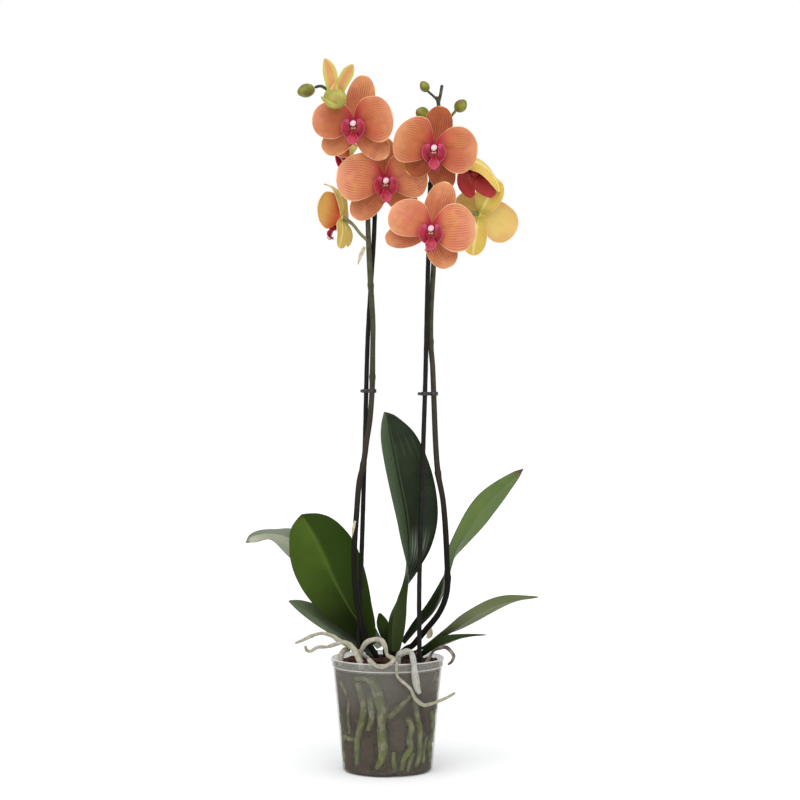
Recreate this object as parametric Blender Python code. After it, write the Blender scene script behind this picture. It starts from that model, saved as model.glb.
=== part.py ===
"""Potted moth orchid: a two-spiked plant with eight leaves, nine flowers and
four buds, staked and clipped, growing in bark in a clear 12 cm grower's pot.

Metres, +Z up, origin at the pot's axis on the table. The front is -Y.
Shapes below are written in millimetres and scaled once, in make_object().
"""
import math

import bpy
import numpy as np

MM = 0.001

# Pot: an injection-moulded clear grower's pot.
POT_HEIGHT = 120.0
POT_RIM_RADIUS = 60.0
POT_BASE_RADIUS = 48.5
POT_WALL = 1.2
POT_FLOOR = 1.5
POT_RIM_DEPTH = 7.6
POT_SHOULDER_RADIUS = 58.5
POT_SEGMENTS = 40
DRAIN_HOLES = 8
DRAIN_RADIUS = 3.6
DRAIN_CIRCLE = 36.0
NOTCH_WIDTH = 4.6
NOTCH_HEIGHT = 5.0
FIRST_NOTCH = math.radians(-81.4)

# Clear space left between neighbouring pieces.
GAP = 0.35

BARK_TOP = 112.0
STAKE_RADIUS = 2.5
STAKE_FOOT = 25.0
CLIP_HEIGHT = 4.3
CLIP_WALL = 1.7

LEAF_MIDRIB_THICKNESS = 2.2
LEAF_EDGE_THICKNESS = 1.3
TEPAL_THICKNESS = 0.9
FLOWER_HUB_RADIUS = 3.6

# Every route row is x, y, z and a radius.
STAKE_LEFT = [
    (-34.4, 3.5, STAKE_FOOT, 2.5), (-31.2, 2.5, 130, 2.5), (-27.6, 1.8, 240, 2.5),
    (-24.2, 1.4, 355, 2.5), (-21.6, 1.3, 455, 2.5), (-18.0, 1.4, 520, 2.5),
    (-14.8, 1.8, 569, 2.5), (-13.2, 2.4, 612, 2.5),
]
STAKE_RIGHT = [
    (34.6, -10.5, STAKE_FOOT, 2.5), (34.2, -9.2, 128, 2.5), (33.9, -8.6, 184, 2.5),
    (35.0, -8.2, 240, 2.5), (38.2, -7.4, 345, 2.5), (40.6, -6.8, 420, 2.5),
    (42.4, -6.4, 500, 2.5), (44.6, -6.4, 580, 2.5), (45.7, -6.6, 630, 2.5),
]
SPIKE_LEFT = [
    (-11.5, 0, 121, 3.0), (-17.0, -1, 130.3, 3.1), (-23.1, -4, 142.5, 3.2),
    (-28.2, -7, 160, 3.2), (-33.0, -9, 184, 3.1), (-35.3, -9.5, 212, 3.1),
    (-35.3, -9.5, 242, 3.1), (-33.2, -8.8, 274, 3.0), (-30.5, -8.2, 308, 3.0),
    (-26.0, -7.4, 327.3, 3.5), (-22.2, -7, 354, 3.0), (-18.8, -6.2, 376, 2.9),
    (-16.6, -6, 405.6, 2.9), (-16.2, -6, 421, 3.3), (-15.8, -6, 452, 2.8),
    (-15.6, -6, 481, 2.8), (-18.0, -6, 519.5, 3.2), (-20.4, -5, 568.6, 2.8),
    (-21.0, -3, 601, 2.7), (-20.4, 0, 628, 2.6), (-23.2, 2, 655.4, 2.5),
    (-31.8, -2, 682, 2.4), (-43.0, -12, 705, 2.2), (-54.0, -26, 718.5, 2.0),
    (-64.5, -30, 726.4, 1.8), (-70.5, -30.4, 729.6, 1.6), (-76.5, -30.0, 728.4, 1.5),
]
SPIKE_RIGHT = [
    (15.8, 10, 125, 3.0), (20.5, 11, 128.5, 3.2), (26.8, 11, 131.5, 3.2),
    (32.8, 10.5, 138.5, 3.2), (40.4, 9.5, 147.7, 3.2), (54.4, 6.5, 165.6, 3.2),
    (62.4, 4, 183.7, 3.2), (64.8, 2, 201.6, 3.2), (63.9, 0, 225, 3.1),
    (62.3, -1, 258.4, 3.1), (59.4, -1.4, 290.6, 3.0), (54.3, -1.6, 318, 3.5),
    (51.7, -1.6, 350, 3.0), (49.6, -1.6, 403.4, 2.9), (48.4, -1.6, 433.5, 2.9),
    (46.4, -1.6, 459, 3.3), (46.8, -1.2, 494.6, 2.8), (49.6, 0, 544, 2.8),
    (50.2, 1.2, 574, 2.7), (48.3, 2.6, 606.7, 2.6), (46.9, 3.6, 630, 2.5),
    (47.9, 4.2, 655.6, 2.4), (51.1, 5, 682.6, 2.3), (54.4, 5, 704.2, 2.2),
    (54.9, 4.5, 715.9, 2.1), (52.8, 3.6, 723.2, 2.0),
]
# Short stalks that join the spikes: each starts inside the spike's stem.
STALKS_LEFT = {
    "flower_left_1": [(-22.6, 1.8, 650, 1.9), (-27.0, -6, 668, 1.7), (-32.0, -20, 682, 1.7),
                      (-34.6, -37.6, 687.0, 2.0)],
    "flower_left_2": [(-20.9, -2.4, 607, 1.9), (-14.0, -5, 613, 1.7), (-7.0, -8, 623, 1.7),
                      (-3.6, -14, 628.6, 2.0)],
    "flower_left_3": [(-20.3, -5, 567, 1.9), (-29.0, -6, 575, 1.7), (-38.0, -6, 586.0, 1.7),
                      (-45.4, -5, 592.6, 2.0)],
    "flower_left_4": [(-21.2, 1.5, 640, 1.9), (-25.0, 14, 648, 1.7), (-30.0, 29, 657, 1.7),
                      (-37.2, 37.2, 662.2, 2.0)],
    "flower_left_opening": [(-53.0, -25, 717.6, 1.7), (-54.4, -35, 719.0, 1.5),
                            (-55.0, -47.0, 717.4, 1.6)],
}
STALKS_RIGHT = {
    "flower_right_1": [(47.4, 3.9, 643, 1.9), (50.0, -9, 650, 1.7), (50.0, -24, 658.5, 1.7),
                       (49.2, -35, 661.4, 2.0)],
    "flower_right_2": [(50.1, 1.0, 569, 1.9), (55.5, -12, 570, 1.7), (50.0, -38, 574, 1.7),
                       (46.2, -57, 574.8, 2.0)],
    "flower_right_3": [(47.4, 4, 645, 1.9), (62.0, 8, 654, 1.7), (80.0, 6, 662, 1.7),
                       (91.4, 2.6, 660.5, 1.9)],
    "flower_right_4": [(48.6, 2.2, 600, 1.9), (63.0, 1.5, 602, 1.7), (81.0, 2, 600.0, 1.7),
                       (95.8, 5.4, 598.2, 2.0)],
    "bud_right_tip": [(54.9, 4.3, 717.5, 1.9), (57.0, 3.2, 726, 1.7), (58.6, 3.0, 735.6, 1.7)],
    "bud_right_high": [(53.6, 4.0, 720.5, 1.7), (48.6, 1.0, 724.5, 1.3), (43.6, -2.6, 728.2, 1.3)],
    "bud_right_outer": [(51.6, 5.0, 685, 1.8), (62.0, 4, 695, 1.4), (72.3, 1.4, 707.6, 1.5)],
    "bud_right_inner": [(52.5, 5.0, 692, 1.8), (47.0, 1, 697, 1.4), (42.6, -4.2, 700.6, 1.5)],
}

# Leaf rows: x, y, z of the midrib, half width, roll about the midrib and fold, in degrees.
# Roll 0 shows the upper face to the front; fold lifts both halves into a channel.
LEAVES = {
    "leaf_front_left": [
        (-18.5, 11, 131.5, 8, 0, 28), (-28.7, 13.5, 152, 18, -8, 24),
        (-40.6, 14.5, 170.3, 27, -10, 21), (-52.4, 15, 191, 34, -11, 17),
        (-62, 15, 210, 37.5, -11, 15), (-70.8, 14.5, 229.7, 37.5, -11, 14),
        (-79.4, 12, 248, 32, -10, 13), (-88, 11, 263.5, 21, -10, 12),
        (-93.0, 10, 273.5, 6, -10, 10),
    ],
    "leaf_back_left": [
        (-8.5, 23, 128, 6, -40, 25), (-38, 34, 166, 15, -52, 20), (-74, 35, 207, 24, -56, 16),
        (-104, 35, 237.5, 25, -58, 12), (-127, 36, 247, 21, -78, 10),
        (-146, 35, 245.5, 12, -66, 8), (-155, 34, 241, 2.5, -62, 8),
    ],
    "leaf_low_left": [
        (-13, 15, 120, 6, -50, 24), (-31, 15, 131.5, 8.5, -55, 24), (-48, 15, 141.8, 14, -58, 22),
        (-66.6, 15, 153.7, 17, -60, 20), (-82, 15, 164.5, 16, -60, 18),
        (-96, 15, 173.7, 10, -60, 15), (-107, 15, 179.6, 1.5, -60, 12),
    ],
    "leaf_tall": [
        (6.5, -9, 128, 6, -150, 25), (6.5, -8, 148, 11, -145, 28), (8, -4, 166, 13, -138, 28),
        (12.2, 1, 183, 11, -118, 28), (17.5, 5, 198, 10.5, -92, 28), (21.0, 8, 214, 16, -66, 30),
        (22.6, 10, 240, 28, -47, 33), (20.2, 12, 272.6, 36.5, -40, 36),
        (12.3, 13, 313.7, 38, -38, 37), (4.2, 13, 353.7, 28, -36, 33),
        (-0.7, 13, 376, 12, -36, 28), (-3.6, 13, 384, 4, -36, 25),
    ],
    "leaf_right": [
        (17.5, 19, 133, 5, 60, 26), (33, 23, 150.6, 9, 62, 26), (49, 26, 167, 13, 68, 26),
        (59, 26, 185, 15, 78, 24), (65, 25, 204, 16, 92, 20), (70.5, 24, 224, 18, 106, 14),
        (76, 24, 238, 21, 114, 10), (93.7, 24, 264.6, 24, 124, 8),
        (107.8, 24, 283.6, 24.5, 125, 7), (122, 24, 298.8, 20, 124, 6),
        (139.3, 25, 315, 10, 121, 5), (147.4, 25, 322, 1.5, 120, 5),
    ],
    "leaf_low_right": [
        (19, 0.5, 121.5, 4, 90, 26), (36, 0, 129, 4.6, 94, 26), (56, 1, 141, 9.5, 106, 22),
        (72.7, 3, 150.6, 14.5, 116, 16), (88.4, 5, 161.4, 17.5, 120, 12),
        (111.6, 6, 174.0, 17.5, 120, 10), (130, 5, 180.2, 14.5, 116, 9),
        (146, 3, 183.4, 9, 110, 8), (162, 1, 185.0, 1.5, 105, 8),
    ],
    "leaf_short_right": [
        (22, -1, 115.5, 4.5, 92, 22), (37, 0, 122.5, 7.5, 108, 22), (50, 1, 130.5, 12, 119, 18),
        (62, -1, 137.0, 13, 120, 14), (73, -5, 141.5, 10, 117, 12),
        (88, -11, 145, 5.5, 108, 12), (105, -17, 146.5, 1.2, 98, 10),
    ],
    "leaf_small_back": [
        (0.5, 20, 131, 5, 0, 24), (-2, 22.5, 143, 7, 0, 22), (-6, 25, 155, 6.5, 0, 18),
        (-9, 27, 165, 1.5, 0, 15),
    ],
}

ROOTS = {
    "root_reach_left": [
        (-21, -10, 121, 2.6), (-34, -17, 130, 2.5), (-45, -22, 138, 2.4),
        (-52, -25, 141.6, 2.4), (-58.3, -26, 146.3, 2.2), (-69.5, -26, 149.4, 2.0),
        (-80.6, -25, 146.3, 1.9), (-89.7, -25, 142, 1.7), (-97.6, -25, 138.8, 1.4),
    ],
    "root_curl_left": [
        (-27, -44, 117, 2.9), (-30, -44, 124, 2.9), (-36.2, -40, 135.4, 2.8),
        (-44.7, -37, 141.2, 2.5), (-53.2, -37, 139.4, 2.2), (-63.7, -37, 136.4, 2.0),
        (-73.3, -37, 136, 1.9), (-80.5, -38, 132, 1.9), (-85.0, -39, 133.0, 1.8),
        (-86.5, -38, 137, 1.5),
    ],
    "root_drop_left": [
        (-41, -14, 131, 2.6), (-46, -17, 130, 2.6), (-49.5, -19, 124, 2.6), (-50.0, -19, 117, 2.6),
    ],
    "root_rim_loop": [
        (-27, -25, 117.5, 2.5), (-29, -29, 127, 2.5), (-21.5, -36, 141, 2.5),
        (-8.1, -42, 144.6, 2.5), (-2.4, -47, 137.9, 2.5), (0.2, -51.5, 129.5, 2.3),
        (6, -55.5, 126.5, 2.2), (6.8, -60.4, 125.2, 2.2), (2.4, -63.4, 121.6, 2.2),
        (-4, -64, 118.8, 2.2), (-10, -63.4, 119.2, 2.2), (-15.6, -61.6, 122.8, 2.2),
        (-18.6, -57.4, 125.2, 2.1), (-18.4, -52.4, 123, 2.1), (-17, -48, 116.5, 2.0),
    ],
    "root_hanging": [
        (12.6, -62.6, 121.4, 1.4), (10.3, -63, 110.3, 1.5), (13.6, -62, 105.2, 1.7),
        (23.9, -59, 95.7, 1.7), (29.1, -56, 84.8, 1.8), (37.5, -51, 77.2, 1.9),
        (45, -46.5, 77.3, 1.8), (55, -40, 79.7, 1.6), (64.2, -34, 82.8, 1.5),
        (71.4, -28, 86.1, 1.3),
    ],
    "root_over_rim": [
        (10, -40, 117, 3.3), (11.9, -43.5, 127.5, 3.4), (18.7, -47.5, 132.4, 3.5),
        (24.2, -53, 132.9, 3.5), (27, -57.8, 127.2, 3.5), (28.6, -58.6, 113.6, 3.5),
        (31.2, -57.4, 96.7, 3.2), (33.8, -56, 90.4, 2.4),
    ],
    "root_dry_right": [
        (41, -17, 117.5, 1.8), (48.5, -19, 129.0, 1.8), (56, -20, 132.9, 1.8),
        (62.4, -20, 133.6, 1.8), (67.2, -20, 129.7, 1.8), (70.6, -20, 124.4, 1.7),
        (68.6, -21, 118.8, 1.5), (64.6, -22, 115.6, 1.2),
    ],
}

# Roots pressed against the pot wall: x, z and radius; the wall gives y.
WALL_ROOTS = {
    "root_wall_1": [(-17.4, 104, 4.2), (-12.7, 96, 4.3), (-8.5, 81.4, 4.4), (-5.4, 70, 4.5),
                    (-6.4, 56.3, 4.4), (-5.4, 42.7, 4.2), (-4.6, 29, 4.0), (-6.2, 18.5, 3.4),
                    (-11.2, 9.0, 2.2)],
    "root_wall_2": [(2.6, 64.2, 2.0), (12.4, 73.5, 2.2), (23.9, 85.6, 2.2)],
    "root_wall_3": [(-30.9, 98, 2.8), (-27.6, 88, 2.9), (-25, 76, 3.0), (-25.8, 62, 3.0),
                    (-30.4, 43, 3.0), (-31.8, 28.1, 2.8), (-31.8, 12, 2.4)],
    "root_wall_4": [(-18.4, 84, 2.6), (-16.6, 70, 2.8), (-16.8, 59.5, 2.8), (-20.6, 50, 2.4)],
    "root_wall_5": [(21.8, 61.6, 2.4), (25.4, 52.2, 2.8), (23.0, 38.6, 2.9), (24.6, 29.2, 2.9),
                    (17.4, 18.7, 2.8), (15, 7.5, 2.2)],
    "root_wall_6": [(29, 82, 2.0), (31.4, 63.6, 2.6), (34.3, 50.1, 2.7), (34.0, 36.5, 2.6),
                    (34.2, 22.9, 2.4), (30.4, 9.3, 2.0)],
    "root_wall_7": [(-49.0, 98, 2.0), (-46.4, 91, 2.1), (-42.6, 85, 2.0)],
    "root_wall_8": [(6.6, 26, 1.8), (6.8, 16, 2.4), (7.8, 7, 2.2)],
}

BARK_COLOUR = (0.115, 0.048, 0.026)
LEAF_COLOUR = (0.062, 0.105, 0.022)
ROOT_COLOUR = (0.42, 0.40, 0.30)
STEM_COLOUR = (0.085, 0.072, 0.036)
STAKE_COLOUR = (0.022, 0.020, 0.016)
PETAL_COLOUR = (0.66, 0.235, 0.105)
LIP_COLOUR = (0.42, 0.012, 0.045)
BUD_COLOUR = (0.26, 0.27, 0.065)
DRY_COLOUR = (0.55, 0.50, 0.38)


def clear_scene():
    for obj in list(bpy.data.objects):
        bpy.data.objects.remove(obj, do_unlink=True)


def make_material(name, colour, roughness, metallic=0.0):
    material = bpy.data.materials.new(name)
    material.use_nodes = True
    shader = material.node_tree.nodes["Principled BSDF"]
    shader.inputs["Base Color"].default_value = (*colour, 1.0)
    shader.inputs["Roughness"].default_value = roughness
    shader.inputs["Metallic"].default_value = metallic
    return material


def make_object(name, shape, colour, roughness, sharp=35.0):
    """One named piece from a (vertices, faces) shape written in millimetres."""
    verts, faces = shape
    mesh = bpy.data.meshes.new(name)
    mesh.from_pydata([tuple(float(c) * MM for c in v) for v in verts], [], faces)
    mesh.validate()
    mesh.materials.append(make_material(name + "_finish", colour, roughness))
    obj = bpy.data.objects.new(name, mesh)
    bpy.context.scene.collection.objects.link(obj)
    mesh.shade_smooth()
    mesh.set_sharp_from_angle(angle=math.radians(sharp))
    return obj


def unit(vector):
    return vector / np.linalg.norm(vector)


def spline(rows, count):
    """A smooth curve through the rows, sampled evenly by length in x, y, z."""
    rows = np.array(rows, dtype=float)
    ends = np.vstack([2 * rows[0] - rows[1], rows, 2 * rows[-1] - rows[-2]])
    fine = []
    for a, b, c, d in zip(ends, ends[1:], ends[2:], ends[3:]):
        for t in np.arange(0, 1, 1 / 16):
            fine.append(0.5 * (2 * b + (c - a) * t + (2 * a - 5 * b + 4 * c - d) * t**2
                               + (3 * b - a - 3 * c + d) * t**3))
    fine.append(rows[-1])
    fine = np.array(fine)
    steps = np.linalg.norm(np.diff(fine[:, :3], axis=0), axis=1)
    along = np.concatenate([[0], np.cumsum(steps)])
    wanted = np.linspace(0, along[-1], count)
    return np.array([np.interp(wanted, along, column) for column in fine.T]).T


def directions(points):
    tangents = np.gradient(points, axis=0)
    return tangents / np.linalg.norm(tangents, axis=1)[:, None]


def tube(route, count, sides=6, grow=0.0):
    """A closed round rod along a route of x, y, z, radius rows; grow fattens and lengthens it."""
    rows = spline(route, count)
    points = rows[:, :3]
    radii = rows[:, 3] + grow
    tangents = directions(points)
    points[0] -= tangents[0] * grow
    points[-1] += tangents[-1] * grow
    across = unit(np.cross(tangents[0], (0.31, -0.9, 0.2)))
    verts = []
    for point, tangent, radius in zip(points, tangents, radii):
        across = unit(across - tangent * np.dot(across, tangent))
        other = np.cross(tangent, across)
        for k in range(sides):
            turn = 2 * math.pi * k / sides
            verts.append(point + radius * (across * math.cos(turn) + other * math.sin(turn)))
    faces = []
    for i in range(count - 1):
        for k in range(sides):
            a = i * sides + k
            b = i * sides + (k + 1) % sides
            faces.append((a, b, b + sides, a + sides))
    faces.append(tuple(reversed(range(sides))))
    faces.append(tuple(range((count - 1) * sides, count * sides)))
    return verts, faces


def revolve(profile, segments):
    """A solid turned about Z from (radius, height) points; it starts and ends on the axis."""
    verts = []
    rings = []
    for radius, height in profile:
        if radius == 0:
            verts.append((0, 0, height))
            rings.append([len(verts) - 1])
            continue
        ring = []
        for k in range(segments):
            turn = 2 * math.pi * k / segments
            verts.append((radius * math.cos(turn), radius * math.sin(turn), height))
            ring.append(len(verts) - 1)
        rings.append(ring)
    faces = []
    for low, high in zip(rings, rings[1:]):
        for k in range(segments):
            n = (k + 1) % segments
            if len(low) == 1:
                faces.append((low[0], high[n], high[k]))
            elif len(high) == 1:
                faces.append((low[k], low[n], high[0]))
            else:
                faces.append((low[k], low[n], high[n], high[k]))
    return verts, faces


def box(centre, size, turn=0.0):
    """A block with its sides turned about Z."""
    c, s = math.cos(turn), math.sin(turn)
    verts = []
    for dz in (-0.5, 0.5):
        for dx, dy in ((-0.5, -0.5), (0.5, -0.5), (0.5, 0.5), (-0.5, 0.5)):
            x, y = dx * size[0], dy * size[1]
            verts.append((centre[0] + x * c - y * s, centre[1] + x * s + y * c,
                          centre[2] + dz * size[2]))
    faces = [(3, 2, 1, 0), (4, 5, 6, 7), (0, 1, 5, 4), (1, 2, 6, 5), (2, 3, 7, 6), (3, 0, 4, 7)]
    return verts, faces


def ellipsoid(centre, radii, axis, segments=10, rings=6, tip=0.0):
    """A rounded egg about an axis; tip draws its far end out to a point."""
    centre = np.array(centre, dtype=float)
    w = unit(np.array(axis, dtype=float))
    u = unit(np.cross(w, (0.2, 0.95, 0.1)))
    v = np.cross(w, u)
    verts = [centre - w * radii[2]]
    for i in range(1, rings):
        angle = math.pi * i / rings
        up = -math.cos(angle)
        out = math.sin(angle) * (1 - tip * max(up, 0))
        for k in range(segments):
            turn = 2 * math.pi * k / segments
            verts.append(centre + w * radii[2] * up + out * (
                u * radii[0] * math.cos(turn) + v * radii[1] * math.sin(turn)))
    verts.append(centre + w * radii[2])
    faces = []
    last = len(verts) - 1
    for k in range(segments):
        n = (k + 1) % segments
        faces.append((0, 1 + n, 1 + k))
        top = 1 + (rings - 2) * segments
        faces.append((top + k, top + n, last))
        for i in range(rings - 2):
            a = 1 + i * segments
            faces.append((a + k, a + n, a + segments + n, a + segments + k))
    return verts, faces


def boolean(base, others, operation):
    """The first solid joined with, or cut by, each of the others."""
    made = []
    for verts, faces in [base, *others]:
        mesh = bpy.data.meshes.new("solid")
        mesh.from_pydata([tuple(float(c) for c in v) for v in verts], [], faces)
        obj = bpy.data.objects.new("solid", mesh)
        bpy.context.scene.collection.objects.link(obj)
        made.append(obj)
    for other in made[1:]:
        modifier = made[0].modifiers.new("join", "BOOLEAN")
        modifier.operation = operation
        modifier.solver = "EXACT"
        modifier.object = other
    bpy.context.view_layer.update()
    ready = made[0].evaluated_get(bpy.context.evaluated_depsgraph_get())
    verts = [tuple(v.co) for v in ready.data.vertices]
    faces = [tuple(p.vertices) for p in ready.data.polygons]
    for obj in made:
        bpy.data.objects.remove(obj, do_unlink=True)
    return verts, faces


def shell(upper, lower, rows, columns):
    """Closes two matching grids of points into one thin solid."""
    verts = list(upper) + list(lower)
    under = rows * columns
    faces = []
    for i in range(rows - 1):
        for j in range(columns - 1):
            a = i * columns + j
            b = a + columns
            faces.append((a, a + 1, b + 1, b))
            faces.append((under + a, under + b, under + b + 1, under + a + 1))
    rim = [j for j in range(columns)]
    rim += [i * columns + columns - 1 for i in range(1, rows)]
    rim += [(rows - 1) * columns + j for j in range(columns - 2, -1, -1)]
    rim += [i * columns for i in range(rows - 2, 0, -1)]
    for a, b in zip(rim, rim[1:] + rim[:1]):
        faces.append((a, under + a, under + b, b))
    return verts, faces


def leaf(rows, count, columns=5):
    """A leaf blade: a channel folded along its midrib, thickest in the middle."""
    data = spline(rows, count)
    points = data[:, :3]
    upper = []
    lower = []
    for point, tangent, row in zip(points, directions(points), data):
        half, roll, fold = row[3], math.radians(row[4]), math.radians(row[5])
        front = np.array((0.0, -1.0, 0.0))
        face = unit(front - tangent * np.dot(front, tangent))
        side = np.cross(tangent, face)
        across = math.cos(roll) * side + math.sin(roll) * face
        normal = math.cos(roll) * face - math.sin(roll) * side
        for u in np.linspace(-1, 1, columns):
            lift = abs(u) * half * math.sin(fold)
            spot = point + across * (u * half * math.cos(fold)) + normal * lift
            lean = normal - across * math.copysign(math.tan(fold) * min(1, abs(u) * 2), u)
            thick = LEAF_MIDRIB_THICKNESS * (1 - u * u) + LEAF_EDGE_THICKNESS * u * u
            thick = min(thick, 0.5 + half * 0.5)
            upper.append(spot + unit(lean) * thick / 2)
            lower.append(spot - unit(lean) * thick / 2)
    return shell(upper, lower, count, columns)


def flower_frame(facing, spin):
    """Right, up and forward of a flower that looks along facing, spun clockwise."""
    forward = unit(np.array(facing, dtype=float))
    right = unit(np.cross((0, 0, 1), forward))
    up = np.cross(forward, right)
    turn = math.radians(spin)
    return (right * math.cos(turn) - up * math.sin(turn),
            up * math.cos(turn) + right * math.sin(turn), forward)


def tepal_half_width(t, widest, half):
    """Claw at the foot, broadest at the given share of the length, rounded end."""
    if t < widest:
        grow = t / widest
        return half * (0.13 + 0.87 * math.sin(grow * math.pi / 2) ** 1.5)
    return max(half * math.sqrt(max(0, 1 - ((t - widest) / (1 - widest)) ** 2.2)), half * 0.16)


def tepal_curve(length, start, end, count):
    """Distance out and height forward of a blade whose slope runs from start to end."""
    out, rise = [FLOWER_HUB_RADIUS], [0.0]
    step = (length - FLOWER_HUB_RADIUS) / 60
    for k in range(60):
        slope = math.radians(start + (end - start) * (k + 0.5) / 60)
        out.append(out[-1] + step * math.cos(slope))
        rise.append(rise[-1] + step * math.sin(slope))
    share = np.concatenate([[0.0, 0.085], np.sin(np.linspace(0.2, 1, count - 2) * math.pi / 2)])
    return share, np.interp(share * 60, range(61), out), np.interp(share * 60, range(61), rise)


def perianth(centre, frame, tepals, columns=5, rows=7):
    """Three sepals and two petals grown together on one small hub.

    Each tepal is angle, length, half width, widest share, start slope, end slope, recurve.
    """
    right, up, forward = frame
    centre = np.array(centre, dtype=float)
    tepals = sorted(tepals)
    verts = []
    faces = []

    def place(x, y, z):
        verts.append(centre + right * x + up * y + forward * z)
        return len(verts) - 1

    count = len(tepals)
    bounds = []
    for k in range(count):
        before = tepals[k - 1][0] - (360 if k == 0 else 0)
        bounds.append((before + tepals[k][0]) / 2)
    bounds.append(bounds[0] + 360)
    top_ring = []
    bottom_ring = []
    half_thick = TEPAL_THICKNESS / 2
    for k in range(count):
        for j in range(columns - 1):
            angle = math.radians(bounds[k] + (bounds[k + 1] - bounds[k]) * j / (columns - 1))
            x, y = FLOWER_HUB_RADIUS * math.cos(angle), FLOWER_HUB_RADIUS * math.sin(angle)
            top_ring.append(place(x, y, half_thick * 1.6))
            bottom_ring.append(place(x, y, -half_thick * 1.6))
    ring = len(top_ring)
    top = place(0, 0, 1.2)
    bottom = place(0, 0, -1.2)
    for k in range(ring):
        n = (k + 1) % ring
        faces.append((top, top_ring[k], top_ring[n]))
        faces.append((bottom, bottom_ring[n], bottom_ring[k]))
    for k, (angle, length, half, widest, start, end, recurve) in enumerate(tepals):
        turn = math.radians(angle)
        share, outs, rises = tepal_curve(length, start, end, rows)
        upper = [[top_ring[(k * (columns - 1) + j) % ring] for j in range(columns)]]
        lower = [[bottom_ring[(k * (columns - 1) + j) % ring] for j in range(columns)]]
        for i in range(1, rows):
            slope = math.radians(start + (end - start) * share[i])
            width = tepal_half_width(share[i], widest, half)
            upper.append([])
            lower.append([])
            for u in np.linspace(-1, 1, columns):
                drop = recurve * u * u * width
                out = outs[i] + math.sin(slope) * drop
                rise = rises[i] - math.cos(slope) * drop
                aside = u * width
                if i == 1:
                    room = [math.radians(abs(b - angle) - 4) for b in bounds[k:k + 2]]
                    aside = min(max(aside, -out * math.tan(room[0])), out * math.tan(room[1]))
                x = out * math.cos(turn) - aside * math.sin(turn)
                y = out * math.sin(turn) + aside * math.cos(turn)
                lean_out = math.sin(slope) * half_thick
                lean_up = math.cos(slope) * half_thick
                upper[-1].append(place(x - lean_out * math.cos(turn),
                                       y - lean_out * math.sin(turn), rise + lean_up))
                lower[-1].append(place(x + lean_out * math.cos(turn),
                                       y + lean_out * math.sin(turn), rise - lean_up))
        for i in range(rows - 1):
            for j in range(columns - 1):
                faces.append((upper[i][j], upper[i + 1][j], upper[i + 1][j + 1], upper[i][j + 1]))
                faces.append((lower[i][j], lower[i][j + 1], lower[i + 1][j + 1], lower[i + 1][j]))
            faces.append((upper[i][0], lower[i][0], lower[i + 1][0], upper[i + 1][0]))
            faces.append((upper[i][-1], upper[i + 1][-1], lower[i + 1][-1], lower[i][-1]))
        for j in range(columns - 1):
            faces.append((upper[-1][j], lower[-1][j], lower[-1][j + 1], upper[-1][j + 1]))
    return verts, faces


def lip_and_column(centre, frame, size=1.0):
    """The hooded column with the three-lobed lip below it, as one solid."""
    right, up, forward = frame
    centre = np.array(centre, dtype=float)

    def at(x, y, z):
        return tuple(centre + (right * x + up * y + forward * z) * size)

    def rod(points, sides=5, count=3):
        return tube([(*at(*p[:3]), p[3] * size) for p in points], count, sides)

    def lobe(rows, thick, across, count=3):
        data = spline(rows, count)
        upper = []
        lower = []
        across = unit(np.array(across, dtype=float))
        for row, tangent in zip(data, directions(data[:, :3])):
            normal = unit(np.cross(tangent, across))
            for u in (-1, 0, 1):
                spot = row[:3] + across * u * row[3] + normal * row[4] * u * u
                upper.append(at(*(spot + normal * thick / 2)))
                lower.append(at(*(spot - normal * thick / 2)))
        return shell(upper, lower, count, 3)

    column = rod([(0, 1.5, 2.2, 2.2), (0, 1.6, 5, 2.3), (0, 0.8, 8, 2.7), (0, -0.4, 10.4, 1.9)])
    foot = rod([(0, 1.0, 3.2, 1.9), (0, -3.0, 4.6, 1.8), (0, -7.0, 6.4, 2.2), (0, -9, 8.6, 1.6)])
    middle = lobe([(0, -6.5, 5.6, 2.6, 0.6), (0, -11, 8.0, 5.4, 1.0), (0, -16, 9.4, 5.8, 1.2),
                   (0, -21, 9.6, 2.0, 0.4)], 1.3, (1, 0, 0))
    left = lobe([(-1.0, -4.2, 5.2, 2.2, 0.2), (-5.0, -4.6, 7.0, 4.2, 0.6), (-8.2, -2.4, 9.6, 5.0, 0.8),
                 (-9.6, 0.6, 12.0, 2.6, 0.3)], 1.1, (0.25, 0.9, -0.35))
    other = lobe([(1.0, -4.2, 5.2, 2.2, -0.2), (5.0, -4.6, 7.0, 4.2, -0.6), (8.2, -2.4, 9.6, 5.0, -0.8),
                  (9.6, 0.6, 12.0, 2.6, -0.3)], 1.1, (-0.25, 0.9, -0.35))
    horn_left = rod([(-0.6, -20.2, 9.6, 0.7), (-3.4, -22.6, 10.4, 0.6), (-5.6, -22.0, 12.6, 0.5)],
                    3, 3)
    horn_right = rod([(0.6, -20.2, 9.6, 0.7), (3.4, -22.6, 10.4, 0.6), (5.6, -22.0, 12.6, 0.5)],
                     3, 3)
    return boolean(column, [foot, middle, left, other, horn_left, horn_right], "UNION")


def tepal_set(angles, lengths, halves, petal=(32, -14), sepal=(-28, 10), recurve=(0.10, 0.08),
              dorsal=None):
    """Dorsal sepal, left petal, left sepal, right sepal and right petal, seen from the front."""
    made = []
    for k, (angle, length, half) in enumerate(zip(angles, lengths, halves)):
        broad = k in (1, 4)
        start, end = petal if broad else sepal
        if k == 0 and dorsal:
            start, end = dorsal
        made.append((angle % 360, length, half, 0.46 if broad else 0.52, start, end,
                     recurve[0] if broad else recurve[1]))
    return made


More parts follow.
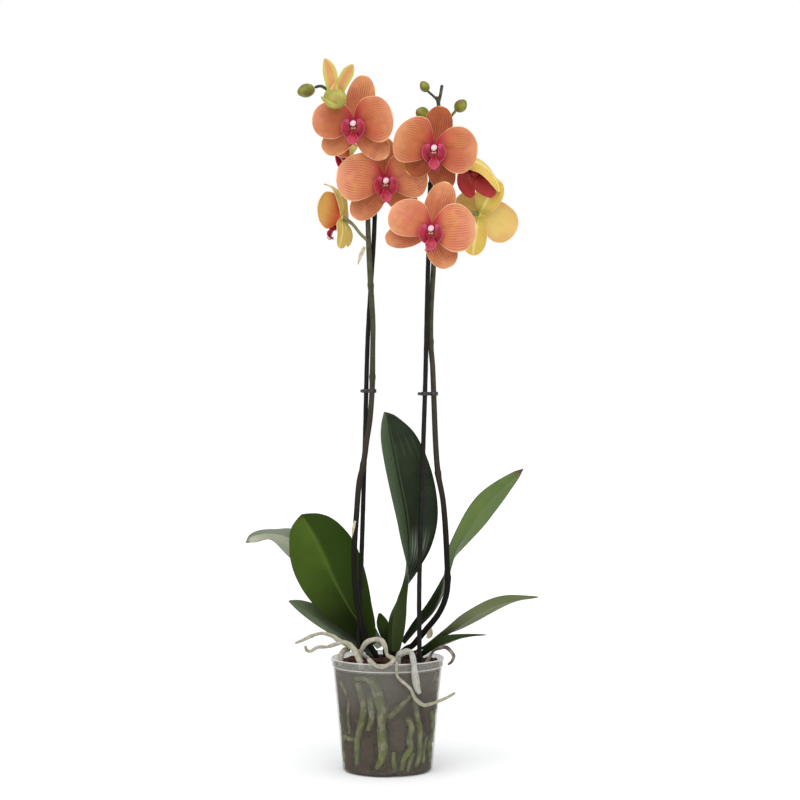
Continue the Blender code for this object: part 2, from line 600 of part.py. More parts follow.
FLOWERS = {
    "left_1": dict(at=(-34.8, -40, 687.1), facing=(-0.10, -1, 0.02), spin=0, size=1.0,
                   tepals=tepal_set((80, 169, 219, 315, 14), (56.5, 46, 44, 49, 44),
                                    (15, 20, 14, 14, 25))),
    "left_2": dict(at=(-2.5, -18, 629.8), facing=(0.10, -1, -0.02), spin=0, size=1.05,
                   tepals=tepal_set((92, 172, 230, 318, 16), (50, 55, 52, 46, 47),
                                    (15, 25, 15, 15, 24))),
    "left_3": dict(at=(-49.3, -5, 592.6), facing=(-0.86, 0.42, 0.05), spin=0, size=0.95,
                   tepals=tepal_set((90, 158, 232, 296, 22), (47, 40, 35, 37, 40),
                                    (11.5, 18, 9, 11, 19), petal=(34, 2), sepal=(-26, 10),
                                    dorsal=(-12, 76))),
    "left_4": dict(at=(-41.3, 38.5, 663), facing=(-0.90, 0.30, -0.04), spin=0, size=0.95,
                   tepals=tepal_set((90, 154, 229, 299, 26), (38, 38, 34, 36, 38),
                                    (11, 15, 9.5, 11, 15), petal=(34, -8), sepal=(-28, 10))),
    "right_1": dict(at=(48.9, -38, 661.8), facing=(0.02, -1, 0.0), spin=0, size=1.0,
                    tepals=tepal_set((79, 158, 222, 290, 357), (49, 45, 38, 46, 48),
                                     (15.5, 25.5, 12.5, 12.5, 25))),
    "right_2": dict(at=(45.9, -60, 575), facing=(-0.04, -1, 0.02), spin=0, size=1.05,
                    tepals=tepal_set((72, 154, 191, 297, 2), (55, 49, 51, 45, 49),
                                     (16, 20.5, 12, 15.5, 25))),
    "right_3": dict(at=(94.2, -1.0, 659.5), facing=(-0.35, -0.72, -0.62), spin=-14, size=None,
                    tepals=tepal_set((90, 170, 232, 308, 10), (36, 30, 35, 35, 30),
                                     (12, 6.5, 9.5, 9.5, 6.5), petal=(62, 66), sepal=(14, 64),
                                     recurve=(-0.1, -0.15))),
    "right_4": dict(at=(99.0, 8.6, 597.6), facing=(0.30, 1, 0.10), spin=0, size=0.95,
                    tepals=tepal_set((124, 204, 278, 340, 28), (45, 45, 46, 42, 34),
                                     (15, 20, 12, 11, 16.5), petal=(34, -8), sepal=(-28, 10))),
}


def pot_inner_radius(height):
    """Radius of the pot's inner wall at a height above the floor."""
    low, high = 3.0, POT_HEIGHT - POT_RIM_DEPTH - 1.0
    share = (height - low) / (high - low)
    return POT_BASE_RADIUS - POT_WALL + share * (POT_SHOULDER_RADIUS - POT_BASE_RADIUS)


def build_pot():
    under_rim = POT_HEIGHT - POT_RIM_DEPTH
    profile = [
        (0, 0), (POT_BASE_RADIUS - 2.2, 0), (POT_BASE_RADIUS, 3.0),
        (POT_SHOULDER_RADIUS, under_rim - 1.0), (POT_RIM_RADIUS, under_rim),
        (POT_RIM_RADIUS, POT_HEIGHT - 0.6), (POT_RIM_RADIUS - 0.6, POT_HEIGHT),
        (POT_RIM_RADIUS - 1.3, POT_HEIGHT), (POT_RIM_RADIUS - 1.5, under_rim + 0.4),
        (POT_SHOULDER_RADIUS - POT_WALL, under_rim - 1.0), (POT_BASE_RADIUS - POT_WALL, 3.0),
        (POT_BASE_RADIUS - 2.6, POT_FLOOR), (0, POT_FLOOR),
    ]
    cutters = []
    for k in range(DRAIN_HOLES):
        turn = FIRST_NOTCH + 2 * math.pi * k / DRAIN_HOLES
        x, y = math.cos(turn), math.sin(turn)
        hole = [(x * DRAIN_CIRCLE, y * DRAIN_CIRCLE, z, DRAIN_RADIUS) for z in (-1.0, 3.0)]
        cutters.append(tube(hole, 2, 10))
        cutters.append(box((x * POT_BASE_RADIUS, y * POT_BASE_RADIUS, NOTCH_HEIGHT / 2 - 0.5),
                           (8.6, NOTCH_WIDTH, NOTCH_HEIGHT + 1.0), turn))
    shape = boolean(revolve(profile, POT_SEGMENTS), cutters, "DIFFERENCE")
    make_object("pot", shape, (0.52, 0.50, 0.47), 0.22, sharp=28)


def wall_route(rows):
    """A root's route pressed against the front inner wall of the pot."""
    route = []
    for x, z, radius in rows:
        reach = pot_inner_radius(z) - radius - GAP
        route.append((x, -math.sqrt(reach**2 - x**2), z, radius))
    return route


def wall_counts(rows):
    return 2 * len(rows) - 1


def build_bark():
    """The packed bark mix, with the grooves its roots and stakes lie in."""
    low = POT_FLOOR + GAP
    side = [(pot_inner_radius(z) - GAP, z) for z in (3.6, 58.0, BARK_TOP - 1.5)]
    edge = side[-1][0]
    profile = [(0, low), (POT_BASE_RADIUS - 3.2, low), *side, (edge - 3, BARK_TOP),
               (edge * 0.72, BARK_TOP + 0.4), (edge * 0.42, BARK_TOP + 1.0), (0, BARK_TOP + 1.2)]
    verts, faces = revolve(profile, POT_SEGMENTS)
    lumpy = []
    for x, y, z in verts:
        if z > BARK_TOP - 1.6:
            z += 0.8 * math.sin(x * 0.33 + 0.8) * math.cos(y * 0.37 - 0.4) + 0.3 * math.sin(
                x * 0.71 - y * 0.58)
        lumpy.append((x, y, z))
    cutters = []
    for rows in WALL_ROOTS.values():
        route = wall_route(rows)
        cutters.append(tube(route, wall_counts(rows), 8, GAP + 0.25))
    for route in (STAKE_LEFT, STAKE_RIGHT):
        foot = [(*row[:3], STAKE_RADIUS) for row in spline(route, 60)[:10]]
        start = 2 * np.array(foot[0]) - np.array(foot[1])
        socket = [(start[0], start[1], STAKE_FOOT - 1.2, STAKE_RADIUS), *foot]
        cutters.append(tube(socket, 8, 10, GAP + 0.25))
    shape = boolean((lumpy, faces), cutters, "DIFFERENCE")
    make_object("bark_mix", shape, BARK_COLOUR, 0.9)


def build_clip(name, stake, stem, height):
    """A double-ring clip that holds a flower spike to its stake."""
    centres = []
    for route in (stake, stem):
        rows = spline(route, 200)
        row = rows[np.argmin(abs(rows[:, 2] - height))]
        centres.append((row[0], row[1], row[3]))

    def disc(x, y, radius, sides, tall):
        rows = [(x, y, height + dz, radius) for dz in (-tall / 2, tall / 2)]
        return tube(rows, 2, sides)

    (ax, ay, ar), (bx, by, br) = centres
    turn = math.atan2(by - ay, bx - ax)
    reach = math.hypot(bx - ax, by - ay)
    bridge = box(((ax + bx) / 2, (ay + by) / 2, height), (reach, 5.0, CLIP_HEIGHT - 0.8), turn)
    back = (ax - math.cos(turn) * (ar + 3.2), ay - math.sin(turn) * (ar + 3.2), height)
    thumb = box(back, (4.4, 3.0, CLIP_HEIGHT - 0.8), turn)
    body = boolean(disc(ax, ay, ar + 0.5 + CLIP_WALL, 16, CLIP_HEIGHT),
                   [disc(bx, by, br + 0.5 + CLIP_WALL, 16, CLIP_HEIGHT + 0.2), bridge, thumb],
                   "UNION")
    mouth = (bx + math.cos(turn) * (br + 2), by + math.sin(turn) * (br + 2), height)
    cuts = [disc(ax, ay, ar + 0.5, 14, CLIP_HEIGHT + 4), disc(bx, by, br + 0.5, 14, CLIP_HEIGHT + 4),
            box(mouth, (5.0, 3.2, CLIP_HEIGHT + 4), turn)]
    make_object(name, boolean(body, cuts, "DIFFERENCE"), (0.014, 0.014, 0.014), 0.4)


def build_supports():
    make_object("stake_left", tube(STAKE_LEFT, 14, 10), STAKE_COLOUR, 0.6)
    make_object("stake_right", tube(STAKE_RIGHT, 14, 10), STAKE_COLOUR, 0.6)
    build_clip("clip_left", STAKE_LEFT, SPIKE_LEFT, 406.7)
    build_clip("clip_right", STAKE_RIGHT, SPIKE_RIGHT, 403.7)


def build_crown():
    rows = [(3, 5, 114.8, 7.4), (3, 6, 121, 8.4), (2.6, 7, 129, 7.6), (2.4, 7.6, 136, 5.0)]
    make_object("crown", tube(rows, 6, 10), (0.075, 0.085, 0.03), 0.7)


def build_leaves():
    for name, rows in LEAVES.items():
        make_object(name, leaf(rows, 12 if len(rows) > 8 else 9), LEAF_COLOUR, 0.38, sharp=50)


def build_roots():
    for name, rows in ROOTS.items():
        count = 2 * len(rows) - 1 if len(rows) < 12 else 20
        make_object(name, tube(rows, count, 6), ROOT_COLOUR, 0.75, sharp=65)
    for name, rows in WALL_ROOTS.items():
        route = wall_route(rows)
        make_object(name, tube(route, wall_counts(rows), 6), ROOT_COLOUR, 0.7, sharp=65)


def build_spikes():
    for name, route, stalks in (("spike_left", SPIKE_LEFT, STALKS_LEFT),
                                ("spike_right", SPIKE_RIGHT, STALKS_RIGHT)):
        branches = [tube(rows, 4, 6) for rows in stalks.values()]
        shape = boolean(tube(route, 34, 7), branches, "UNION")
        make_object(name, shape, STEM_COLOUR, 0.5, sharp=55)


def build_flowers():
    for name, flower in FLOWERS.items():
        frame = flower_frame(flower["facing"], flower["spin"])
        make_object("flower_" + name, perianth(flower["at"], frame, flower["tepals"]),
                    PETAL_COLOUR, 0.5, sharp=50)
        if flower["size"] is not None:
            shape = lip_and_column(flower["at"], frame, flower["size"])
            make_object("lip_" + name, shape, LIP_COLOUR, 0.4, sharp=45)


def build_opening_flower():
    """The youngest flower: a green cup with two upright petals, just opening."""
    cup = ellipsoid((-54.8, -58.5, 712.8), (12.2, 10.6, 11.8), (0.05, 0, 1), 12, 7)
    left = leaf([(-57.0, -59, 721, 4.2, 0, 8), (-58.6, -60, 731, 7.0, 0, 10),
                 (-60.8, -61, 742, 6.6, 0, 8), (-65.1, -61.5, 753.0, 1.5, 0, 4)], 5)
    right = leaf([(-50.6, -58, 720, 4.2, 0, 8), (-46.4, -59, 729.5, 6.2, 0, 10),
                  (-41.4, -60, 738.5, 6.2, 0, 8), (-35.9, -61, 747.2, 1.6, 0, 4)], 5)
    make_object("flower_left_opening", boolean(cup, [left, right], "UNION"),
                (0.42, 0.36, 0.10), 0.5, sharp=50)


def build_buds():
    buds = {
        "bud_left_tip": ((-86.0, -32.0, 724.3), (7.6, 7.6, 9.6), (-0.95, -0.2, -0.25), 0.15),
        "bud_right_high": ((39.6, -5.0, 733.2), (5.4, 5.4, 6.4), (-0.4, -0.25, 0.6), 0.1),
        "bud_right_outer": ((78.6, -0.6, 713.4), (6.9, 6.9, 7.8), (0.7, -0.3, 0.75), 0.1),
        "bud_right_inner": ((37.2, -10.2, 703.6), (7.2, 7.2, 8.2), (-0.6, -0.7, 0.35), 0.1),
    }
    for name, (centre, radii, axis, tip) in buds.items():
        make_object(name, ellipsoid(centre, radii, axis, 10, 6, tip), BUD_COLOUR, 0.5, sharp=60)


def build_dry_sheaths():
    """Papery dead bracts left on the stems."""
    low = leaf([(-34.6, -14.2, 268, 1.2, 6, 12), (-36.4, -14.8, 260, 1.6, 6, 12),
                (-37.6, -15.0, 252, 1.0, 6, 12)], 4, 3)
    high = leaf([(-24.4, -9.8, 561, 1.6, 20, 12), (-28.6, -11.0, 552, 2.2, 20, 12),
                 (-31.6, -11.4, 542, 0.9, 20, 12)], 4, 3)
    foot = leaf([(43.0, 3.6, 140.5, 1.6, 12, 10), (45.6, 3.4, 145, 3.4, 12, 10),
                 (47.6, 1.2, 151.5, 1.6, 12, 10)], 4, 3)
    make_object("bract_left_low", low, DRY_COLOUR, 0.8)
    make_object("bract_left_high", high, DRY_COLOUR, 0.8)
    make_object("sheath_right_foot", foot, DRY_COLOUR, 0.8)


clear_scene()
build_pot()
build_bark()
build_supports()
build_crown()
build_leaves()
build_roots()
build_spikes()
build_flowers()
build_opening_flower()
build_buds()
build_dry_sheaths()
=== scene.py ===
# %% [markdown]
# # A potted moth orchid
# A moth orchid has thick leaves, silvery air roots and tall flower spikes tied to
# sticks, and it grows in bark in a clear pot. The measured solids come first. They
# say where every piece sits, and each is then replaced by a finely modelled piece.

# %% Load the measured solids
import math

import bpy
import numpy as np
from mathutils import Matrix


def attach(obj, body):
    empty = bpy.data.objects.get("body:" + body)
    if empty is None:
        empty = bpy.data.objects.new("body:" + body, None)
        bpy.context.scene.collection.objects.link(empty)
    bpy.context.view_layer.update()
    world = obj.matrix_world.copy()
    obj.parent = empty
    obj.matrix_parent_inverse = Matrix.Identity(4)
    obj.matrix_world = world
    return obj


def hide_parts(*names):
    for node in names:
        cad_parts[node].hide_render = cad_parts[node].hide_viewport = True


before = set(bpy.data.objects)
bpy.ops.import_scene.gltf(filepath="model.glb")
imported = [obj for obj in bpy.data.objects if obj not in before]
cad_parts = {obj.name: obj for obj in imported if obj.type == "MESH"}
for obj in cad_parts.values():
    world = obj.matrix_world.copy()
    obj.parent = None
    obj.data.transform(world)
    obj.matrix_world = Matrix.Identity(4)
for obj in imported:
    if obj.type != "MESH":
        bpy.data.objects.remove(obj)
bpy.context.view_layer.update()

# %% [markdown]
# ## Studio
# The plant stands on a wide pale floor. A long lens at a good distance looks at it
# level with its middle, so that the tall spikes hardly lean in the picture.

# %% Camera
CAMERA_DISTANCE = 2.1
CAMERA_HEIGHT = 0.397
camera_data = bpy.data.cameras.new("studio_camera")
camera_data.sensor_width = 36.0
camera_data.lens = 87.9
camera_data.clip_end = 50.0
camera = bpy.data.objects.new("studio_camera", camera_data)
camera.location = (0.0134, -CAMERA_DISTANCE, CAMERA_HEIGHT)
camera.rotation_euler = (math.radians(90), 0, 0)
bpy.context.scene.collection.objects.link(camera)
bpy.context.scene.camera = camera
bpy.context.scene.view_settings.view_transform = "Standard"
print("lens", camera_data.lens, "mm at", CAMERA_DISTANCE, "m")

# %% [markdown]
# A broad key light comes from the upper left, a weak fill from the right and one
# more light from above and behind. A sun lamp with a large angle gives the soft
# shadow edge of a big softbox and needs no aiming. The surroundings are dimmer in
# reflections than to the camera, so that waxy leaves keep their dark tones.

# %% Lights and surroundings


def soft_light(name, strength, tilt, turn, spread):
    """A broad light that shines down from a direction: tilt from overhead, turn about Z."""
    data = bpy.data.lights.new(name, "SUN")
    data.energy = strength
    data.angle = math.radians(spread)
    lamp = bpy.data.objects.new(name, data)
    lamp.rotation_euler = (math.radians(tilt), 0, math.radians(turn))
    bpy.context.scene.collection.objects.link(lamp)


soft_light("key_light", 1.45, 50, -24, 70)
soft_light("fill_light", 0.75, 58, 36, 90)
soft_light("top_light", 0.9, 12, 160, 100)

world = bpy.data.worlds.new("studio")
bpy.context.scene.world = world
world.use_nodes = True
sky = world.node_tree
sky.nodes.clear()
either = sky.nodes.new("ShaderNodeMixShader")
for place, strength, colour in ((1, 0.56, (0.97, 0.98, 1.0, 1.0)), (2, 1.0, (1.0, 1.0, 1.0, 1.0))):
    glow = sky.nodes.new("ShaderNodeBackground")
    glow.inputs["Color"].default_value = colour
    glow.inputs["Strength"].default_value = strength
    sky.links.new(glow.outputs[0], either.inputs[place])
seen = sky.nodes.new("ShaderNodeLightPath")
world_out = sky.nodes.new("ShaderNodeOutputWorld")
sky.links.new(seen.outputs["Is Camera Ray"], either.inputs[0])
sky.links.new(either.outputs[0], world_out.inputs["Surface"])

# %% [markdown]
# ## Shape tools
# Nearly everything on a plant is either a rod that follows a curve (stem, root,
# stalk) or a thin blade that follows a curve (leaf, tepal, lip lobe). Both start
# from a few route points, so one smooth curve tool serves them all. Each shape
# carries a map: across the blade or round the rod, and along it. Veins, rims and
# wrinkles are then drawn in that map instead of in space.

# %% Curves
MM = 0.001


def unit(vector):
    return vector / np.linalg.norm(vector)


def spline(rows, count):
    """A smooth curve through the rows, sampled evenly by length in x, y, z."""
    rows = np.array(rows, dtype=float)
    ends = np.vstack([2 * rows[0] - rows[1], rows, 2 * rows[-1] - rows[-2]])
    fine = []
    for a, b, c, d in zip(ends, ends[1:], ends[2:], ends[3:]):
        for t in np.arange(0, 1, 1 / 16):
            fine.append(0.5 * (2 * b + (c - a) * t + (2 * a - 5 * b + 4 * c - d) * t**2
                               + (3 * b - a - 3 * c + d) * t**3))
    fine = np.array(fine + [rows[-1]])
    steps = np.linalg.norm(np.diff(fine[:, :3], axis=0), axis=1)
    along = np.concatenate([[0], np.cumsum(steps)])
    wanted = np.linspace(0, along[-1], count)
    return np.array([np.interp(wanted, along, column) for column in fine.T]).T


def directions(points):
    tangents = np.gradient(points, axis=0)
    return tangents / np.maximum(np.linalg.norm(tangents, axis=1), 1e-9)[:, None]


def wave(points, seed, scale):
    """Smooth repeatable unevenness between -1 and 1 at each point, from a few sines."""
    rng = np.random.default_rng(seed)
    total = np.zeros(len(points))
    for k in range(5):
        way = rng.normal(size=3) / scale
        total += np.sin(points @ way + rng.uniform(0, 6.3)) / 2.2
    return total


print("curve check:", spline([(0, 0, 0), (10, 0, 0), (20, 5, 0)], 3).round(1).tolist())

# %% [markdown]
# Stems, roots and buds are rings of points joined into a tube. A shape here is four
# plain lists: points, faces, map corners and material slots. Several shapes can so
# be joined into one mesh, which then becomes one named piece.

# %% Tubes, rods and eggs


def merge(shapes):
    points, faces, maps, slots = [], [], [], []
    for p, f, m, s in shapes:
        start = len(points)
        points.extend(p)
        faces.extend(tuple(i + start for i in face) for face in f)
        maps.extend(m)
        slots.extend(s)
    return points, faces, maps, slots


def tube(rows, sides, heights):
    """Faces and maps between rings of points; heights are the rings' places on the map."""
    faces, maps = [], []
    for i in range(rows - 1):
        for k in range(sides):
            a, b = i * sides + k, i * sides + (k + 1) % sides
            faces.append((a, b, b + sides, a + sides))
            u0, u1, v0, v1 = k / sides, (k + 1) / sides, heights[i], heights[i + 1]
            maps.append(((u0, v0), (u1, v0), (u1, v1), (u0, v1)))
    return faces, maps


def cap(shape, ring, sides, centre, ahead, marks):
    """Closes a ring with a fan round a centre; marks are the map heights of centre and ring."""
    verts, faces, maps = shape
    for k in range(sides):
        a, b = ring * sides + k, ring * sides + (k + 1) % sides
        faces.append((len(verts), a, b) if ahead else (len(verts), b, a))
        ends = (k, k + 1) if ahead else (k + 1, k)
        maps.append(((k / sides, marks[0]), *((end / sides, marks[1]) for end in ends)))
    verts.append(centre)


def rod(route, count, sides=12, slot=0, swell=None, tip=True):
    """A closed round rod along x, y, z, radius rows; swell(v, angle, point) scales the radius."""
    rows = spline(route, count)
    points, radii = rows[:, :3], rows[:, 3]
    tangents = directions(points)
    across = unit(np.cross(tangents[0], (0.31, -0.9, 0.2)))
    length = np.concatenate([[0], np.cumsum(np.linalg.norm(np.diff(points, axis=0), axis=1))])
    verts = []
    for point, tangent, radius, at in zip(points, tangents, radii, length):
        across = unit(across - tangent * np.dot(across, tangent))
        other = np.cross(tangent, across)
        for k in range(sides):
            turn = 2 * math.pi * k / sides
            grow = swell(at, turn, point) if swell else 1.0
            verts.append(point + radius * grow * (across * math.cos(turn) + other * math.sin(turn)))
    faces, maps = tube(count, sides, length / 100)
    for ring, out in ((0, -1), (count - 1, 1)):
        reach = radii[ring] * (0.55 if tip else 0.0)
        v = length[ring] / 100
        cap((verts, faces, maps), ring, sides, points[ring] + tangents[ring] * out * reach, out > 0, (v, v))
    return verts, faces, maps, [slot] * len(faces)


def egg(centre, radii, axis, segments=28, rings=18, tip=0.0, lobes=0, depth=0.0, slot=0):
    """A rounded body about an axis, drawn to a point by tip and creased by lobes."""
    centre = np.array(centre, dtype=float)
    w = unit(np.array(axis, dtype=float))
    u = unit(np.cross(w, (0.2, 0.95, 0.1)))
    v = np.cross(w, u)
    verts = []
    for i in range(1, rings):
        angle = math.pi * i / rings
        up = -math.cos(angle)
        for k in range(segments):
            turn = 2 * math.pi * k / segments
            crease = 1 - depth * abs(math.cos(turn * lobes / 2)) ** 6 if lobes else 1.0
            out = math.sin(angle) * (1 - tip * max(up, 0) ** 1.5) * crease
            verts.append(centre + w * radii[2] * up + out * (
                u * radii[0] * math.cos(turn) + v * radii[1] * math.sin(turn)))
    heights = [i / rings for i in range(1, rings)]
    faces, maps = tube(rings - 1, segments, heights)
    cap((verts, faces, maps), 0, segments, centre - w * radii[2], False, (0.0, heights[0]))
    cap((verts, faces, maps), rings - 2, segments, centre + w * radii[2], True, (1.0, heights[-1]))
    return verts, faces, maps, [slot] * len(faces)


print("round shapes: rod and egg")

# %% [markdown]
# Petals and leaves are thin closed blades with a front and a back. Rows of points
# across the blade are pushed apart by its thickness and joined round the rim, and
# the two faces can have different finishes. The last helper here turns any shape
# into a piece that rides on the plant and stands for its measured solids.

# %% Blades


def blade(centres, across, normals, halves, shape_at, thick_at, columns, slots=(0, 1), marks=None):
    """A thin closed blade. shape_at(u, i) gives side and lift shares of the half width."""
    rows = len(centres)
    marks = np.linspace(0, 1, rows) if marks is None else marks
    shares = np.linspace(-1, 1, columns)
    middle = np.zeros((rows, columns, 3))
    for i in range(rows):
        for j, u in enumerate(shares):
            side, lift = shape_at(u, i)
            middle[i, j] = centres[i] + across[i] * side * halves[i] + normals[i] * lift * halves[i]
    along = np.gradient(middle, axis=0)
    over = np.gradient(middle, axis=1)
    lean = np.cross(over, along)
    lean /= np.maximum(np.linalg.norm(lean, axis=2), 1e-9)[..., None]
    if np.sum(lean * normals[:, None]) < 0:
        lean = -lean
    thick = np.array([[thick_at(u, marks[i], halves[i]) for u in shares] for i in range(rows)])
    upper = middle + lean * thick[..., None] / 2
    lower = middle - lean * thick[..., None] / 2
    verts = list(upper.reshape(-1, 3)) + list(lower.reshape(-1, 3))
    under = rows * columns
    faces, maps, used = [], [], []

    def place(index):
        index = index % under
        return ((index % columns) / (columns - 1), marks[index // columns])

    def add(face, slot):
        faces.append(face)
        maps.append(tuple(place(i) for i in face))
        used.append(slot)

    flip = np.dot(np.cross(over[rows // 2, columns // 2], along[rows // 2, columns // 2]),
                  normals[rows // 2]) < 0
    for i in range(rows - 1):
        for j in range(columns - 1):
            a = i * columns + j
            top = (a, a + 1, a + columns + 1, a + columns)
            low = (under + a, under + a + columns, under + a + columns + 1, under + a + 1)
            add(top[::-1] if flip else top, slots[0])
            add(low[::-1] if flip else low, slots[1])
    rim = [j for j in range(columns)] + [i * columns + columns - 1 for i in range(1, rows)]
    rim += [(rows - 1) * columns + j for j in range(columns - 2, -1, -1)]
    rim += [i * columns for i in range(rows - 2, 0, -1)]
    for a, b in zip(rim, rim[1:] + rim[:1]):
        face = (a, under + a, under + b, b)
        add(face[::-1] if flip else face, slots[0])
    return verts, faces, maps, used


def make_piece(name, shape, materials, nodes=(), sharp=60.0):
    """A finished object in metres that rides on the plant and stands for its solids."""
    points, faces, maps, slots = shape
    mesh = bpy.data.meshes.new(name)
    mesh.from_pydata([tuple(float(c) * MM for c in p) for p in points], [], faces)
    layer = mesh.uv_layers.new(name="blade_map")
    corners = np.array([c for face in maps for c in face], dtype=np.float32)
    layer.uv.foreach_set("vector", corners.ravel())
    mesh.polygons.foreach_set("material_index", slots)
    for material in materials:
        mesh.materials.append(material)
    mesh.shade_smooth()
    mesh.set_sharp_from_angle(angle=math.radians(sharp))
    piece = bpy.data.objects.new(name, mesh)
    bpy.context.scene.collection.objects.link(piece)
    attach(piece, "root")
    if nodes:
        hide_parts(*nodes)
    return piece


print("flat shapes: blade, and the piece maker")

# %% [markdown]
# ## Finishes
# Plants share a few surface effects: lines that run the length of a blade, a paler
# or darker margin, soft mottling, and small specks. Each is one node group with
# named inputs, so a leaf, a tepal and a root can use the same effect with their
# own numbers. The groups only put out masks that vary over the surface.

# %% Node helpers


def put(tree, kind, inputs=(), **settings):
    """Adds a node; inputs pairs a socket name or number with a value or another socket."""
    node = tree.nodes.new(kind)
    for key, value in settings.items():
        setattr(node, key, value)
    for key, value in dict(inputs).items():
        if isinstance(value, bpy.types.NodeSocket):
            tree.links.new(value, node.inputs[key])
        else:
            node.inputs[key].default_value = value
    return node


def math_node(tree, operation, *values):
    return put(tree, "ShaderNodeMath", dict(enumerate(values)), operation=operation).outputs[0]


def soften(tree, value, low, high):
    """Smooth step of a value: 0 at low, 1 at high."""
    return put(tree, "ShaderNodeMapRange", {"Value": value, "From Min": low, "From Max": high},
               interpolation_type="SMOOTHSTEP").outputs[0]


def place_of(tree, space="UV"):
    """The three axes of the blade's map, or of the piece's own space for Object."""
    spot = put(tree, "ShaderNodeTexCoord").outputs[space]
    return put(tree, "ShaderNodeSeparateXYZ", {0: spot}).outputs


def new_group(name, inputs):
    """An effect group with numbers in and one Mask out."""
    tree = bpy.data.node_groups.new(name, "ShaderNodeTree")
    for label, value in inputs.items():
        socket = tree.interface.new_socket(name=label, in_out="INPUT", socket_type="NodeSocketFloat")
        socket.default_value = value
    tree.interface.new_socket(name="Mask", in_out="OUTPUT", socket_type="NodeSocketFloat")
    return tree, tree.nodes.new("NodeGroupInput").outputs, tree.nodes.new("NodeGroupOutput").inputs[0]


print("node helpers ready")

# %% [markdown]
# Veins, ribs and wrinkles all run along the length of a plant part. One wave, bent
# by a slow noise so that no line is straight, serves for all of them.

# %% Effect: lines along a blade or rod
lines_tree, given, mask = new_group(
    "lengthwise lines", {"Lines": 12.0, "Thinness": 0.3, "Waver": 0.1, "Scale": 4.0})
grid_map = put(lines_tree, "ShaderNodeTexCoord").outputs["UV"]
stir = put(lines_tree, "ShaderNodeTexNoise", {"Vector": grid_map, "Scale": given["Scale"],
                                              "Detail": 3.0}).outputs[0]
stir = math_node(lines_tree, "MULTIPLY", math_node(lines_tree, "SUBTRACT", stir, 0.5), given["Waver"])
moved = math_node(lines_tree, "ADD", place_of(lines_tree)[0], stir)
saw = math_node(lines_tree, "PINGPONG", math_node(lines_tree, "MULTIPLY", moved, given["Lines"]), 0.5)
ridge = math_node(lines_tree, "MULTIPLY", saw, 2.0)
lines_tree.links.new(soften(lines_tree, ridge, given["Thinness"], 0.0), mask)
print("group:", lines_tree.name)

# %% [markdown]
# Petals and leaves often have a paler or darker margin, where the tissue thins out.
# The mask grows from the outline of the blade inwards, on the blade's own map.

# %% Effect: margin of a blade


def off_centre(tree):
    """How far a point is off the blade's centre line, from 0 to 1 at either side."""
    across = math_node(tree, "MULTIPLY", place_of(tree)[0], 2.0)
    return math_node(tree, "ABSOLUTE", math_node(tree, "SUBTRACT", across, 1.0))


rim_tree, given, mask = new_group("blade margin", {"Width": 0.08, "Softness": 0.04})
reach = math_node(rim_tree, "MAXIMUM", off_centre(rim_tree), place_of(rim_tree)[1])
start = math_node(rim_tree, "SUBTRACT", 1.0, given["Width"])
end = math_node(rim_tree, "ADD", start, given["Softness"])
rim_tree.links.new(soften(rim_tree, reach, start, end), mask)
print("group:", rim_tree.name)

# %% [markdown]
# A leaf folds along its midrib, which shows as a narrow band from base to tip. The
# mask is strongest on the centre line of the blade's map and fades to both sides.

# %% Effect: midrib of a blade
rib_tree, given, mask = new_group("midrib", {"Width": 0.02, "Softness": 0.03})
fade_end = math_node(rib_tree, "ADD", given["Width"], given["Softness"])
rib_tree.links.new(soften(rib_tree, off_centre(rib_tree), fade_end, given["Width"]), mask)
print("group:", rib_tree.name)

# %% [markdown]
# Living and weathered surfaces change colour in soft clouds. A noise in the piece's
# own space, cut off softly at both ends, gives clouds of any size.

# %% Effect: soft mottling in space
mottle_tree, given, mask = new_group(
    "soft mottle", {"Scale": 40.0, "Detail": 4.0, "Low": 0.35, "High": 0.65})
spot = put(mottle_tree, "ShaderNodeTexCoord").outputs["Object"]
cloud = put(mottle_tree, "ShaderNodeTexNoise", {"Vector": spot, "Scale": given["Scale"],
                                                "Detail": given["Detail"]}).outputs[0]
mottle_tree.links.new(soften(mottle_tree, cloud, given["Low"], given["High"]), mask)
print("group:", mottle_tree.name)

# %% [markdown]
# Pores, grit and droplets are small round marks scattered without order. Cells with
# random centres give them, and the size sets how much of each cell is marked.

# %% Effect: small specks and pits
speck_tree, given, mask = new_group("specks", {"Scale": 900.0, "Size": 0.25})
spot = put(speck_tree, "ShaderNodeTexCoord").outputs["Object"]
cells = put(speck_tree, "ShaderNodeTexVoronoi", {"Vector": spot, "Scale": given["Scale"]})
speck_tree.links.new(soften(speck_tree, cells.outputs["Distance"], given["Size"], 0.0), mask)
print("group:", speck_tree.name)

# %% [markdown]
# ## Paint
# Every finish is drawn in the same way: a base colour, then other tones laid over it
# through masks, then a little relief. One small class holds a material while it is
# drawn, so that each finish below reads as a list of its layers.

# %% Paint


